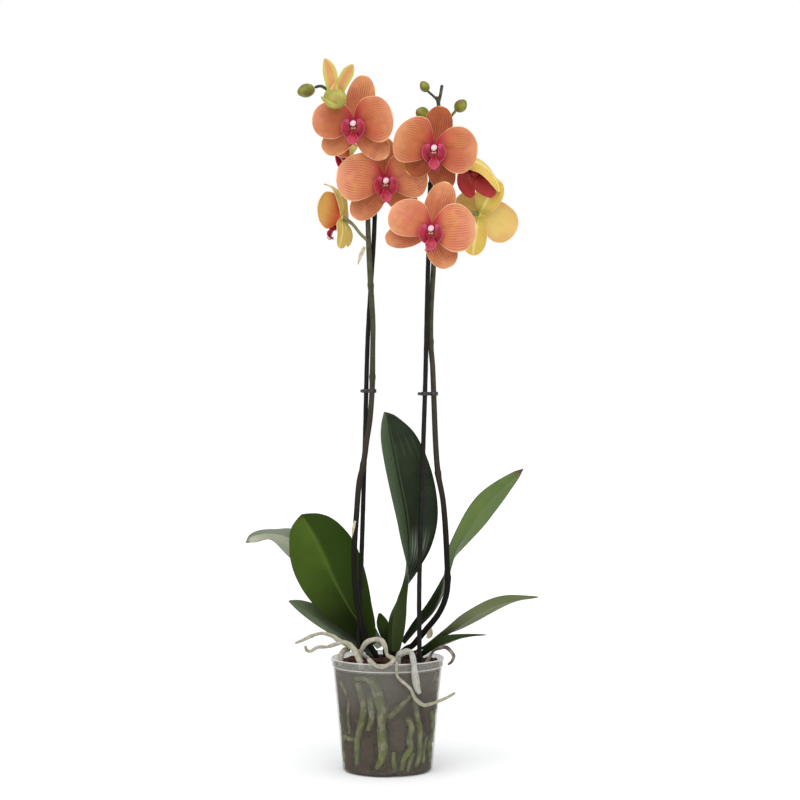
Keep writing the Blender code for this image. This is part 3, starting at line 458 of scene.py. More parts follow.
class Paint:
    """A material being drawn. Masks and colours are node sockets, and over() adds a layer."""

    def __init__(self, name, base, roughness=0.5, **sockets):
        self.material = bpy.data.materials.new(name)
        self.material.use_nodes = True
        self.tree = self.material.node_tree
        self.colour = base
        self.shader = self.tree.nodes["Principled BSDF"]
        self.shader.inputs["Roughness"].default_value = roughness
        for key, value in sockets.items():
            self.shader.inputs[key.replace("_", " ")].default_value = value

    def effect(self, group, *values):
        """Places an effect group and sets its inputs in their order."""
        node = put(self.tree, "ShaderNodeGroup", node_tree=group)
        for socket, value in zip(node.inputs, values):
            socket.default_value = value
        return node.outputs[0]

    def lines(self, count, thinness, waver, scale):
        return self.effect(lines_tree, count, thinness, waver, scale)

    def mottle(self, scale, detail=4.0, low=0.35, high=0.65):
        return self.effect(mottle_tree, scale, detail, low, high)

    def specks(self, scale, size):
        return self.effect(speck_tree, scale, size)

    def margin(self, width, softness):
        return self.effect(rim_tree, width, softness)

    def midrib(self, width, softness):
        return self.effect(rib_tree, width, softness)

    def fade(self, value, low, high):
        return soften(self.tree, value, low, high)

    def place(self, space="UV"):
        return place_of(self.tree, space)

    def times(self, first, *others):
        for other in others:
            first = math_node(self.tree, "MULTIPLY", first, other)
        return first

    def plus(self, a, b):
        return math_node(self.tree, "ADD", a, b)

    def ramp(self, mask, slope, base):
        return math_node(self.tree, "MULTIPLY_ADD", mask, slope, base)

    def off(self, value, middle):
        """Distance of a value from a middle."""
        return math_node(self.tree, "ABSOLUTE", math_node(self.tree, "SUBTRACT", value, middle))

    def blend(self, share, low, high):
        """Mixes two colours by a share from 0 to 1."""
        low, high = ((*c, 1.0) if isinstance(c, tuple) else c for c in (low, high))
        return put(self.tree, "ShaderNodeMix", {0: share, 6: low, 7: high}, data_type="RGBA").outputs[2]

    def over(self, colour, mask, share=None):
        """Lays a colour over what is there, where the mask is and at a share."""
        mask = mask if share is None else self.times(mask, share)
        self.colour = self.blend(mask, self.colour, colour)

    def finish(self, height=None, distance=0.0004, strength=0.5, roughness=None):
        """Connects colour, relief and roughness, and returns the material."""
        self.tree.links.new(self.colour, self.shader.inputs["Base Color"])
        if roughness is not None:
            self.tree.links.new(roughness, self.shader.inputs["Roughness"])
        if height is not None:
            bump = put(self.tree, "ShaderNodeBump", {"Height": height, "Strength": strength,
                                                     "Distance": distance})
            self.tree.links.new(bump.outputs[0], self.shader.inputs["Normal"])
        return self.material


print("effects:", [group.name for group in bpy.data.node_groups])

# %% [markdown]
# ## Floor
# The floor is one wide sheet of pale matte board. It belongs to the studio, not to
# the plant, and is not attached to it.

# %% Floor
FLOOR_RADIUS = 12.0
board = Paint("studio_board", (0.93, 0.93, 0.93), 0.9)
board.over((0.95, 0.95, 0.95), board.mottle(2.0, 2.0))
floor_mesh = bpy.data.meshes.new("studio_floor")
floor_mesh.from_pydata([(FLOOR_RADIUS * math.cos(a), FLOOR_RADIUS * math.sin(a), 0.0)
                        for a in np.linspace(0, 2 * math.pi, 65)[:-1]], [], [tuple(range(64))])
floor_mesh.materials.append(board.finish())
floor = bpy.data.objects.new("studio_floor", floor_mesh)
floor.location = (0, 0, -0.0002)
bpy.context.scene.collection.objects.link(floor)
print("floor radius", FLOOR_RADIUS, "m")

# %% [markdown]
# ## Pot
# A grower's pot is moulded from thin clear plastic with a rolled rim. Used pots
# turn milky: fine scratches and dried water scatter light, mostly at the rim and
# the heel. A body of revolution gives the wall and its beads. The milkiness is a
# pale colour with low opacity, which rises where the wall is seen edge on. Two
# bright lines on the rim are painted highlights.

# %% Pot material
clear = Paint("clear_pot_plastic", (0.150, 0.145, 0.118), 0.40, IOR=1.5, Specular_IOR_Level=0.06)
fog = clear.mottle(22.0, 5.0, 0.3, 0.7)
scuff = clear.lines(90.0, 0.2, 0.05, 3.0)
pot_level = clear.place("Object")[2]
heel_fog = clear.fade(pot_level, 0.010, 0.002)
splashed = clear.fade(pot_level, 0.05, 0.11)
rim_fog = clear.fade(pot_level, 0.1095, 0.1105)
# painted highlight: two bright lines on the crest of the rolled rim and on the step below it
rim_highlights = clear.plus(clear.fade(clear.off(pot_level, 0.1205), 0.0012, 0.0),
                       clear.fade(clear.off(pot_level, 0.1120), 0.0009, 0.0))
edge_on = put(clear.tree, "ShaderNodeLayerWeight", {"Blend": 0.30}).outputs["Facing"]
edge_haze = clear.times(math_node(clear.tree, "POWER", edge_on, 3.0), 0.42)
haze = clear.ramp(fog, 0.04, 0.115)
for part, weight in ((scuff, 0.008), (splashed, 0.12), (rim_fog, 0.12), (rim_highlights, 0.26),
                     (heel_fog, 0.02), (edge_haze, 0.42)):
    haze = clear.plus(haze, clear.times(part, weight))
held = put(clear.tree, "ShaderNodeClamp", {0: haze}).outputs[0]
clear.tree.links.new(held, clear.shader.inputs["Alpha"])
for colour, part in (((0.200, 0.195, 0.162), fog), ((0.24, 0.235, 0.200), splashed),
                     ((0.34, 0.335, 0.30), rim_fog), ((0.62, 0.62, 0.58), edge_haze),
                     ((0.74, 0.74, 0.68), rim_highlights)):
    clear.over(colour, part)
pot_plastic = clear.finish(fog, 0.0004, 0.2, clear.ramp(fog, 0.2, 0.32))
print("finish:", pot_plastic.name)

# %% [markdown]
# The pot is one turned shell: a tapering wall, a step under the rim and a rolled
# rim. Its floor has drain holes and its heel has notches, so that water runs off
# when it stands on a flat board.

# %% Pot shape
POT_SEGMENTS, POT_FLOOR = 144, 1.4
INNER_FOOT, FLOOR_TOP, WALL_SLOPE = 47.3, 3.0, 10.0 / 108.4
NOTCHES, FIRST_NOTCH, NOTCH_SIZE, HEEL_RADIUS = 8, -81.4, (8.6, 4.6, 6.0), 48.5
HOLE_RING, HOLE_RADIUS = 36, 3.6
POT_PROFILE = [
    (30.0, 0.0), (44.0, 0.0), (46.6, 0.5), (48.1, 2.0), (48.55, 4.0), (49.1, 9.2), (49.35, 9.8),
    (49.2, 10.6), (58.35, 109.5), (58.6, 111.2), (59.5, 112.4), (59.7, 113.6), (59.6, 116.2),
    (59.9, 117.2), (60.6, 118.0), (60.9, 119.2), (60.6, 120.4), (59.8, 120.9), (58.9, 120.6),
    (58.5, 119.6), (58.5, 113.0), (57.6, 111.4), (57.3, 110.0), (48.1, 10.8), (47.4, 3.4),
    (46.2, 1.8), (44.6, POT_FLOOR), (30.0, POT_FLOOR),
]


def revolve(profile, segments, floors):
    """A pot-like shell: the profile runs up outside, over the rim and down inside."""
    verts = [(radius * math.cos(turn), radius * math.sin(turn), height) for radius, height in profile
             for turn in (2 * math.pi * k / segments for k in range(segments))]
    total = len(profile)
    faces, maps = tube(total, segments, [i / total for i in range(total)])
    for ring, height in ((0, floors[0]), (total - 1, floors[1])):
        cap((verts, faces, maps), ring, segments, (0, 0, height), ring > 0, (0.5, 0.5))
    return verts, faces, maps, [0] * len(faces)


def cut_away(piece, cutters):
    """Cuts solids out of a piece and keeps the result as its mesh."""
    for points, faces, _, _ in cutters:
        mesh = bpy.data.meshes.new("cutter")
        mesh.from_pydata([tuple(c * MM for c in p) for p in points], [], faces)
        tool = bpy.data.objects.new("cutter", mesh)
        bpy.context.scene.collection.objects.link(tool)
        modifier = piece.modifiers.new("cut", "BOOLEAN")
        modifier.operation = "DIFFERENCE"
        modifier.solver = "EXACT"
        modifier.object = tool
    bpy.context.view_layer.update()
    ready = piece.evaluated_get(bpy.context.evaluated_depsgraph_get())
    done = bpy.data.meshes.new_from_object(ready)
    tools = [m.object for m in piece.modifiers]
    piece.modifiers.clear()
    piece.data = done
    for tool in tools:
        bpy.data.objects.remove(tool, do_unlink=True)


def bar(centre, size, turn, outline):
    """A bar along a turned x axis; its outline is in halves of the width and the height."""
    c, s = math.cos(turn), math.sin(turn)
    verts = []
    for dx in (-0.5, 0.5):
        for dy, dz in outline:
            x, y = dx * size[0], dy * size[1] / 2
            verts.append((centre[0] + x * c - y * s, centre[1] + x * s + y * c,
                          centre[2] + dz * size[2] / 2))
    n = len(outline)
    faces = [tuple(range(n)), tuple(range(2 * n - 1, n - 1, -1))]
    faces += [(k, n + k, n + (k + 1) % n, (k + 1) % n) for k in range(n)]
    return verts, faces, [((0.5, 0.5),) * len(f) for f in faces], [0] * len(faces)


SQUARE = [(-1, -1), (-1, 1), (1, 1), (1, -1)]
pot = make_piece("pot_shell", revolve(POT_PROFILE, POT_SEGMENTS, (0.0, POT_FLOOR)), [pot_plastic],
                 ["pot"], sharp=50)
heel_cuts = []
for k in range(NOTCHES):
    turn = math.radians(FIRST_NOTCH) + 2 * math.pi * k / NOTCHES
    x, y = math.cos(turn), math.sin(turn)
    heel_cuts.append(bar((x * HEEL_RADIUS, y * HEEL_RADIUS, 2.0), NOTCH_SIZE, turn, SQUARE))
    hole = [(x * HOLE_RING, y * HOLE_RING, z, HOLE_RADIUS) for z in (-1.0, 3.0)]
    heel_cuts.append(rod(hole, 2, 20, tip=False))
cut_away(pot, heel_cuts)


def pot_inner_radius(height):
    """Radius of the free space in the pot at a height."""
    return INNER_FOOT + (max(height, FLOOR_TOP) - FLOOR_TOP) * WALL_SLOPE


# %% [markdown]
# ## Bark
# Orchid bark is chopped pine bark: flat angular chips, red-brown inside and nearly
# black outside, damp in the pot and drier on top. Each chip is a crumpled flat
# block. They lie in layers against the wall, where the clear pot shows them, and
# over the top. One mesh holds them all, and each chip keeps its own tone.

# %% Bark material
crumbly = Paint("bark_chip", (0.008, 0.006, 0.005), 0.85, Specular_IOR_Level=0.2)
tone, dryness, _ = crumbly.place()
layers = crumbly.mottle(220.0, 3.0, 0.3, 0.7)
crumbly.over((0.200, 0.130, 0.098), tone)
crumbly.over((0.048, 0.045, 0.024), crumbly.mottle(60.0, 3.0, 0.42, 0.62), 0.5)
crumbly.over(crumbly.blend(tone, (0.016, 0.010, 0.007), (0.105, 0.036, 0.018)), dryness)
crumbly.over((0.035, 0.018, 0.012), layers, 0.55)
crumbly.over((0.16, 0.085, 0.05), crumbly.specks(260.0, 0.35), 0.25)
bark_skin = crumbly.finish(layers, 0.0010, 0.6)
print("finish:", bark_skin.name)

# %% [markdown]
# Roots that meet the wall turn and follow it down, in search of damp. Each route in
# front is a few rows of x, height and radius, laid on the inside of the wall. More
# roots wander down the sides and the back by small random turns.

# %% Routes of the roots on the wall
WALL_ROOTS = {
    "root_wall_1": [(-17.4, 104, 4.8), (-12.7, 96, 5.0), (-8.5, 81.4, 5.2), (-5.4, 70, 5.2),
                    (-6.4, 56.3, 4.9), (-5.4, 42.7, 4.8), (-4.6, 29, 4.6), (-6.2, 18.5, 3.9),
                    (-11.2, 9.0, 2.2)],
    "root_wall_2": [(2.6, 64.2, 2.2), (12.4, 73.5, 2.5), (23.9, 85.6, 2.4)],
    "root_wall_3": [(-30.9, 98, 3.0), (-27.6, 88, 3.3), (-25, 76, 3.4), (-25.8, 62, 3.4),
                    (-30.4, 43, 3.4), (-31.8, 28.1, 3.1), (-31.8, 12, 2.6)],
    "root_wall_4": [(-18.4, 84, 2.9), (-16.6, 70, 3.1), (-16.8, 59.5, 3.1), (-20.6, 50, 2.6)],
    "root_wall_5": [(21.8, 61.6, 2.6), (25.4, 52.2, 3.1), (23.0, 38.6, 3.2), (24.6, 29.2, 3.2),
                    (17.4, 18.7, 3.1), (15, 7.5, 2.4)],
    "root_wall_6": [(29, 82, 2.4), (31.4, 63.6, 2.9), (34.3, 50.1, 3.0), (34.0, 36.5, 2.9),
                    (34.2, 22.9, 2.7), (30.4, 9.3, 2.2)],
    "root_wall_7": [(-49.0, 98, 2.0), (-46.4, 91, 2.2), (-42.6, 85, 2.0)],
    "root_wall_8": [(6.6, 26, 2.0), (6.8, 16, 2.6), (7.8, 7, 2.2)],
}
MORE_ROOTS = [
    [(-48.4, 38.4, 1.6), (-43.0, 37.4, 2.2), (-35.5, 37.6, 1.8)],
    [(-33.5, 103.4, 2.0), (-26, 104.2, 2.3), (-18.2, 102.4, 2.2)],
    [(52.5, 106, 1.4), (50.6, 102, 1.8), (48.0, 98.3, 1.2)],
    [(-40.5, 80, 1.4), (-41.4, 60, 1.7), (-40.0, 44, 1.5)],
    [(27.4, 24, 1.5), (24.0, 15, 1.9), (21.6, 6, 1.5)],
    [(41.8, 40, 1.4), (38.6, 26, 1.8), (38.0, 12, 1.5)],
]


def root_reach(z, radius):
    """How far from the pot's axis a root's middle lies when it touches the wall."""
    return pot_inner_radius(z) - radius * 1.1 - 0.1


def wall_route(rows):
    """x, height and radius rows laid against the inside of the front wall."""
    return [(x, -math.sqrt(root_reach(z, radius)**2 - x**2), z, radius) for x, z, radius in rows]


def wander(seed, turn, top, bottom, radius):
    """A root that snakes down the wall at the sides or the back, from a turn about Z."""
    rng = np.random.default_rng(seed)
    route = []
    for z in np.linspace(top, bottom, 8):
        turn += rng.normal() * 3.2
        swell = radius * rng.uniform(0.75, 1.15)
        reach, way = root_reach(z, swell), math.radians(turn)
        route.append((reach * math.cos(way), reach * math.sin(way), z, swell))
    return route


BACK_ROOTS = [wander(200 + k, *row) for k, row in enumerate([
    (-8, 100, 30, 3.2), (14, 88, 8, 2.6), (33, 104, 50, 3.8), (52, 70, 8, 2.4), (70, 100, 12, 4.2),
    (88, 60, 10, 2.2), (104, 103, 40, 3.0), (122, 86, 10, 3.4), (140, 100, 60, 2.4),
    (158, 74, 12, 3.6), (176, 104, 20, 3.0), (194, 60, 8, 2.4), (-24, 66, 10, 2.2)])]
ALL_ROUTES = [wall_route(rows) for rows in [*WALL_ROOTS.values(), *MORE_ROOTS]] + BACK_ROOTS
rooted = np.vstack([spline(route, 60) for route in ALL_ROUTES])


CLEARANCE = 4.5


def root_depth(corner):
    """How far the bark has to stay behind the wall here, to leave a root in view."""
    near = np.linalg.norm(rooted[:, :3] - corner, axis=1) - rooted[:, 3]
    k = int(np.argmin(near))
    return rooted[k, 3] * 1.9 if near[k] < CLEARANCE else 0.0


print("routes on the wall:", len(ALL_ROUTES))

# %% [markdown]
# The mix is broken pine bark: flat angular chips with jittered corners. A corner that
# would stick out of the pot, or lie over a root on the wall, is pulled back inside.

# %% Bark chip


def chip(rng, centre, size, face_out, dry):
    """One angular flat chip: a squashed block with jittered corners, facing face_out."""
    w = unit(np.array(face_out) + rng.normal(scale=0.28, size=3))
    u = unit(np.cross(w, rng.normal(size=3)))
    v = np.cross(w, u)
    half = np.array((size * rng.uniform(0.8, 1.25), size * rng.uniform(0.45, 0.8),
                     size * rng.uniform(0.22, 0.4)))
    points = []
    for z in (-1, 1):
        for x, y in ((-1, -1), (0.1, -1.15), (1, -0.8), (1.15, 0.2), (0.9, 1), (-0.2, 1.1), (-1, 0.8),
                     (-1.15, -0.1)):
            local = np.array((x, y, z)) * (1 + rng.normal(scale=0.13, size=3))
            local[:2] *= 0.88 if z > 0 else 1.0
            corner = centre + u * local[0] * half[0] + v * local[1] * half[1] + w * local[2] * half[2]
            corner[2] = max(corner[2], 1.9)
            limit = pot_inner_radius(corner[2]) - 0.8 - root_depth(corner)
            reach = math.hypot(corner[0], corner[1])
            if reach > limit:
                corner[:2] *= limit / reach
            points.append(corner)
    faces = [tuple(range(7, -1, -1)), tuple(range(8, 16))]
    faces += [(k, (k + 1) % 8, 8 + (k + 1) % 8, 8 + k) for k in range(8)]
    shade = rng.beta(1.6, 2.6)
    return points, faces, [tuple((shade, dry) for _ in face) for face in faces], [0] * len(faces)


print("one chip has", len(chip(np.random.default_rng(1), np.zeros(3), 5.0, (0, 0, 1), 1.0)[0]), "corners")

# %% [markdown]
# Chips are strewn on top in a heap, and two layers of them lie against the clear
# wall. A golden-angle spiral spreads them evenly. A rough body of fines behind
# them closes the gaps, and a small bevel wears their edges.

# %% Bark layers
GOLDEN = 2.399963


def wall_place(inset, total):
    """A spot near the wall that faces out."""
    def place(k):
        height = 5 + 103 * ((k + 0.5) / total)
        turn = k * GOLDEN
        reach = pot_inner_radius(height) - inset - bark_rng.uniform(0, 2.5)
        out = (math.cos(turn), math.sin(turn), 0.05)
        return (reach * out[0], reach * out[1], height + bark_rng.normal() * 1.5), out
    return place


def heap_place(level, total, reach, rise):
    """A spot on the heap, which is higher in the middle."""
    def place(k):
        share = math.sqrt((k + 0.5) / total)
        turn = k * GOLDEN
        return (reach * share * math.cos(turn), reach * share * math.sin(turn),
                level + rise * (1 - share**2) + bark_rng.uniform(-1.5, 1.5)), (0, 0, 1)
    return place


def chip_layer(count, place, sizes, dry):
    made = []
    for k in range(count):
        centre, out = place(k)
        made.append(chip(bark_rng, np.array(centre), bark_rng.uniform(*sizes), out, dry))
    return made


def bark_fines(turns=150, levels=64):
    """Crumbs that fill the gaps between chips: one rough body just inside the wall."""
    heights = np.linspace(2.2, 111.0, levels)
    points = []
    for height in heights:
        for k in range(turns):
            turn = 2 * math.pi * k / turns
            way = np.array((math.cos(turn), math.sin(turn)))
            reach = pot_inner_radius(height) - 0.9
            depth = root_depth((*(way * reach), height))
            points.append((*(way * (reach - depth)), height))
    points = np.array(points)
    rough = wave(points, 31, 2.2) * 0.5 + wave(points, 32, 5.0) * 0.5
    points[:, :2] *= (1 - np.clip(rough + 0.4, 0, 2)[:, None] * 0.012)
    faces, _ = tube(levels, turns, heights)
    faces.append(tuple(range(turns - 1, -1, -1)))
    faces.append(tuple(range((levels - 1) * turns, levels * turns)))
    return list(points), faces, [tuple((0.30, 0.25) for _ in face) for face in faces], [0] * len(faces)


bark_rng = np.random.default_rng(7)
chips = chip_layer(380, wall_place(3.4, 380), (5.0, 8.2), 0.35)
chips += chip_layer(200, wall_place(11.0, 200), (7.0, 9.5), 0.2)
chips += chip_layer(170, heap_place(112.5, 170, 53, 5.0), (4.2, 7.2), 1.0)
chips += chip_layer(80, heap_place(107.0, 80, 50, 4.0), (7.0, 9.0), 0.6)
chips += chip_layer(70, heap_place(4.6, 70, 43, 0.0), (5.0, 7.0), 0.2)
fines = bark_fines()
bark = make_piece("bark_chips", merge([*chips, fines]), [bark_skin], ["bark_mix"], sharp=25)
bevel = bark.modifiers.new("worn_edges", "BEVEL")
bevel.width = 0.0005
bevel.segments = 1
print("chips:", len(chips))

# %% [markdown]
# ## Roots
# Orchid roots wear a spongy silver coat, the velamen. It turns green when wet,
# wrinkles lengthwise as it dries, and ends in a brown or green tip. Rods with an
# uneven radius follow the routes of the solids. Roots in the air get a dry coat,
# roots on the pot wall a wet one.

# %% Root materials


def root_material(name, dry, shade, green, green_range, roughness, moss=None):
    """Velamen: dry colour, green patches, darker mottles and painted shade in the wrinkles;
    moss grows on the low part.
    """
    coat = Paint(name, dry, roughness, Specular_IOR_Level=0.3)
    low, high, share = green_range
    wrinkles = coat.lines(9.0, 0.7, 0.35, 3.0)
    coat.over(green, coat.mottle(85.0, 5.0, low, high), share)
    # the shade colour darkens two mottles and, as painted shade, the creases of the wrinkles
    coat.over(shade, coat.mottle(240.0, 6.0, 0.40, 0.72), 0.6)
    # painted shade: the wrinkles' creases are darkened with the shade colour
    coat.over(shade, wrinkles, 0.40)
    coat.over(shade, coat.mottle(58.0, 4.0, 0.54, 0.70), 0.55)
    if moss:
        low_down = coat.fade(coat.place("Object")[2], 0.085, 0.025)
        coat.over(moss, coat.times(low_down, coat.mottle(150.0, 5.0, 0.40, 0.58)), 0.75)
    relief = coat.plus(coat.times(wrinkles, -0.6), coat.times(coat.specks(1400.0, 0.45), -0.3))
    return coat.finish(relief, 0.0007, 0.9)


dry_root = root_material("dry_velamen", (0.50, 0.475, 0.405), (0.24, 0.19, 0.12), (0.30, 0.31, 0.16),
                         (0.45, 0.7, 0.6), 0.7)
grey_root = root_material("grey_velamen", (0.47, 0.47, 0.43), (0.27, 0.25, 0.19), (0.33, 0.35, 0.25),
                          (0.4, 0.65, 0.5), 0.6)
dead_root = root_material("dead_root", (0.13, 0.10, 0.075), (0.04, 0.028, 0.02), (0.42, 0.38, 0.31),
                          (0.52, 0.62, 0.8), 0.85)
wet_root = root_material("wet_velamen", (0.310, 0.295, 0.175), (0.050, 0.043, 0.016),
                         (0.115, 0.150, 0.016), (0.44, 0.54, 0.90), 0.55,
                         moss=(0.150, 0.190, 0.012))
print("finishes:", dry_root.name, grey_root.name, dead_root.name, wet_root.name)

# %% [markdown]
# Air roots leave the crown, arch over the bark or the rim and taper to a tip. They
# follow the same points as the solids, with swellings and slight kinks added.

# %% Root shapes
ROOTS = {
    "root_reach_left": (dry_root, [
        (-21, -10, 121, 2.6), (-34, -17, 130, 2.5), (-45, -22, 138, 2.4),
        (-52, -25, 141.6, 2.4), (-58.3, -26, 146.3, 2.2), (-69.5, -26, 149.4, 2.0),
        (-80.6, -25, 146.3, 1.9), (-89.7, -25, 142, 1.7), (-97.6, -25, 138.8, 1.4)]),
    "root_curl_left": (dry_root, [
        (-27, -44, 114, 2.9), (-30, -44, 124, 2.9), (-36.2, -40, 135.4, 2.8),
        (-44.7, -37, 141.2, 2.5), (-53.2, -37, 139.4, 2.2), (-63.7, -37, 136.4, 2.0),
        (-73.3, -37, 136, 1.9), (-80.5, -38, 132, 1.9), (-85.0, -39, 133.0, 1.8),
        (-86.5, -38, 137, 1.5)]),
    "root_drop_left": (dry_root, [
        (-41, -14, 131, 2.6), (-46, -17, 130, 2.6), (-49.5, -19, 124, 2.6), (-50.0, -19, 114, 2.6)]),
    "root_rim_loop": (dry_root, [
        (-27, -25, 114.5, 2.5), (-29, -29, 127, 2.5), (-21.5, -36, 141, 2.5),
        (-8.1, -42, 144.6, 2.5), (-2.4, -47, 137.9, 2.5), (0.2, -51.5, 129.5, 2.3),
        (6, -55.5, 126.5, 2.2), (6.8, -60.4, 125.2, 2.2), (2.4, -63.4, 121.6, 2.2),
        (-4, -64, 118.8, 2.2), (-10, -63.4, 119.2, 2.2), (-15.6, -61.6, 122.8, 2.2),
        (-18.6, -57.4, 125.2, 2.1), (-18.4, -52.4, 123, 2.1), (-17, -48, 114.5, 2.0)]),
    "root_hanging": (dry_root, [
        (9.6, -60.6, 124.0, 1.4), (10.3, -63, 110.3, 1.5), (13.6, -62, 105.2, 1.7),
        (23.9, -59, 95.7, 1.7), (29.1, -56, 84.8, 1.8), (37.5, -51, 77.2, 1.9),
        (45, -46.5, 77.3, 1.8), (55, -40, 79.7, 1.6), (64.2, -34, 82.8, 1.5),
        (71.4, -28, 86.1, 1.3)]),
    "root_over_rim": (grey_root, [
        (10, -40, 113, 3.3), (11.9, -43.5, 127.5, 3.4), (18.7, -47.5, 132.4, 3.5),
        (24.2, -53, 132.9, 3.5), (27, -57.8, 127.2, 3.5), (28.6, -58.6, 113.6, 3.5),
        (31.2, -57.4, 96.7, 3.2), (33.8, -56, 90.4, 2.2)]),
    "root_dry_right": (dead_root, [
        (41, -17, 115.5, 1.8), (48.5, -19, 129.0, 1.8), (56, -20, 132.9, 1.8),
        (62.4, -20, 133.6, 1.8), (67.2, -20, 129.7, 1.8), (70.6, -20, 124.4, 1.7),
        (68.6, -21, 118.8, 1.5), (64.6, -22, 115.6, 1.2)]),
}


def root_swell(seed):
    def swell(length, turn, point):
        at = np.array([point])
        return (1 + 0.10 * wave(at, seed, 5.0)[0] + 0.06 * wave(at, seed + 1, 1.6)[0]
                + 0.03 * math.sin(3 * turn + length * 0.2))
    return swell


for seed, (name, (skin, rows)) in enumerate(ROOTS.items()):
    shape = rod(rows, 16 * len(rows), 14, swell=root_swell(seed + 3))
    make_piece(name + "_skin", shape, [skin], [name])
for seed, (name, rows) in enumerate(WALL_ROOTS.items()):
    shape = rod(wall_route(rows), 14 * len(rows), 16, swell=root_swell(seed + 30))
    make_piece(name + "_skin", shape, [wet_root], [name])
small_roots = [rod(route, 12 * len(route), 12, swell=root_swell(50 + k)) for k, route in
               enumerate(ALL_ROUTES[len(WALL_ROOTS):])]
make_piece("small_wall_roots", merge(small_roots), [wet_root])
print("roots:", len(ROOTS), "in the air,", len(ALL_ROUTES), "on the wall")

# %% [markdown]
# ## Stakes and clips
# The sticks are thin rods with a dark rough coat. The clips are small moulded
# double rings that hold stem and stick side by side. The rings are built as
# rounded bands swept round each rod, with a short bridge and a thumb tab.

# %% Stake and clip materials
cane = Paint("stake_coating", (0.0065, 0.0062, 0.0048), 0.6, Specular_IOR_Level=0.15)
streak = cane.lines(14.0, 0.5, 0.3, 2.0)
cane.over((0.013, 0.012, 0.009), streak)
cane.over((0.030, 0.026, 0.020), cane.mottle(120.0, 5.0, 0.5, 0.75), 0.35)
stake_coat = cane.finish(streak, 0.0002)

moulded = Paint("clip_plastic", (0.010, 0.010, 0.010), 0.38)
grain = moulded.mottle(900.0, 2.0)
moulded.over((0.022, 0.022, 0.022), grain)
clip_plastic = moulded.finish(grain, 0.00006, 0.4)
print("finishes:", stake_coat.name, clip_plastic.name)

# %% [markdown]
# Each spike is tied to a thin dark cane pushed into the bark. The canes are slightly
# bowed rods with an uneven skin and rounded ends.

# %% Stakes
STAKE_LEFT = [
    (-34.4, 3.5, 25, 2.5), (-31.2, 2.5, 130, 2.5), (-27.6, 1.8, 240, 2.5), (-24.2, 1.4, 355, 2.5),
    (-21.6, 1.3, 455, 2.5), (-18.0, 1.4, 520, 2.5), (-14.8, 1.8, 569, 2.5), (-13.2, 2.4, 612, 2.5),
]
STAKE_RIGHT = [
    (34.6, -10.5, 25, 2.5), (34.2, -9.2, 128, 2.5), (33.9, -8.6, 184, 2.5), (35.0, -8.2, 240, 2.5),
    (38.2, -7.4, 345, 2.5), (40.6, -6.8, 420, 2.5), (42.4, -6.4, 500, 2.5), (44.6, -6.4, 580, 2.5),
    (45.7, -6.6, 630, 2.5),
]
for name, route in (("stake_left", STAKE_LEFT), ("stake_right", STAKE_RIGHT)):
    make_piece(name + "_rod", rod(route, 160, 16, swell=lambda l, t, p: 1 + 0.02 * math.sin(l * 0.3)),
               [stake_coat], [name])
print("stakes ready")

# %% [markdown]
# ## Flower spikes
# Each spike is one living stem. It is thick and brown-olive below, thinner and
# greener above, with swollen nodes that carry dry scale bracts. The flower stalks
# branch from it. Rods serve for all of them; a rod's radius swells at the nodes.

# %% Stem material
woody = Paint("stem_skin", (0.034, 0.026, 0.018), 0.55, Specular_IOR_Level=0.10)
stem_level = woody.place("Object")[2]
fibre = woody.lines(16.0, 0.6, 0.25, 2.0)
woody.over((0.076, 0.072, 0.036), woody.fade(stem_level, 0.34, 0.56))
woody.over((0.028, 0.018, 0.014), woody.mottle(150.0, 5.0, 0.35, 0.7), 0.5)
woody.over((0.12, 0.11, 0.065), fibre, 0.16)
foot_colour = woody.blend(fibre, (0.0045, 0.0040, 0.0028), (0.0105, 0.0085, 0.0055))
woody.over(foot_colour, woody.fade(stem_level, 0.36, 0.22))
stem_skin = woody.finish(fibre, 0.0002, 0.3)


def stalk_material(name, roughness, shine, spot, dark, light):
    """A young stalk: two tones mottled over faint ribs."""
    stalk = Paint(name, dark, roughness, Specular_IOR_Level=shine)
    stalk.over(light, stalk.mottle(spot))
    return stalk.finish(stalk.lines(6.0, 0.7, 0.1, 2.0), 0.0003, 0.4)


stalk_skin = stalk_material("stalk_skin", 0.45, 0.3, 120.0, (0.135, 0.15, 0.052), (0.25, 0.235, 0.105))
dark_stalk = stalk_material("dark_stalk", 0.5, 0.2, 160.0, (0.030, 0.024, 0.016), (0.085, 0.078, 0.040))
print("finishes:", stem_skin.name, stalk_skin.name, dark_stalk.name)

# %% [markdown]
# A flower spike leaves the base of a leaf, climbs its cane and bends at every node.
# Its nodes are swollen and scarred, and each flower hangs on a stalk of its own.

# %% Spike routes
SPIKE_LEFT = [
    (-11.5, 0, 121, 3.0), (-17.0, -1, 130.3, 3.1), (-23.1, -4, 142.5, 3.2), (-28.2, -7, 160, 3.2),
    (-33.0, -9, 184, 3.1), (-35.3, -9.5, 212, 3.1), (-35.3, -9.5, 242, 3.1), (-33.2, -8.8, 274, 3.0),
    (-30.5, -8.2, 308, 3.0), (-26.0, -7.4, 327.3, 3.2), (-22.2, -7, 354, 3.0), (-18.8, -6.2, 376, 2.9),
    (-16.6, -6, 405.6, 2.9), (-16.2, -6, 421, 3.0), (-15.8, -6, 452, 2.8), (-15.6, -6, 481, 2.8),
    (-18.0, -6, 519.5, 3.0), (-20.4, -5, 568.6, 2.8), (-21.0, -3, 601, 2.7), (-20.4, 0, 628, 2.6),
    (-23.2, 2, 655.4, 2.5), (-31.8, -2, 682, 2.4), (-43.0, -12, 705, 2.2), (-54.0, -26, 718.5, 2.0),
    (-64.5, -30, 726.4, 1.8), (-70.5, -30.4, 729.6, 1.6), (-76.5, -30.0, 728.4, 1.5),
]
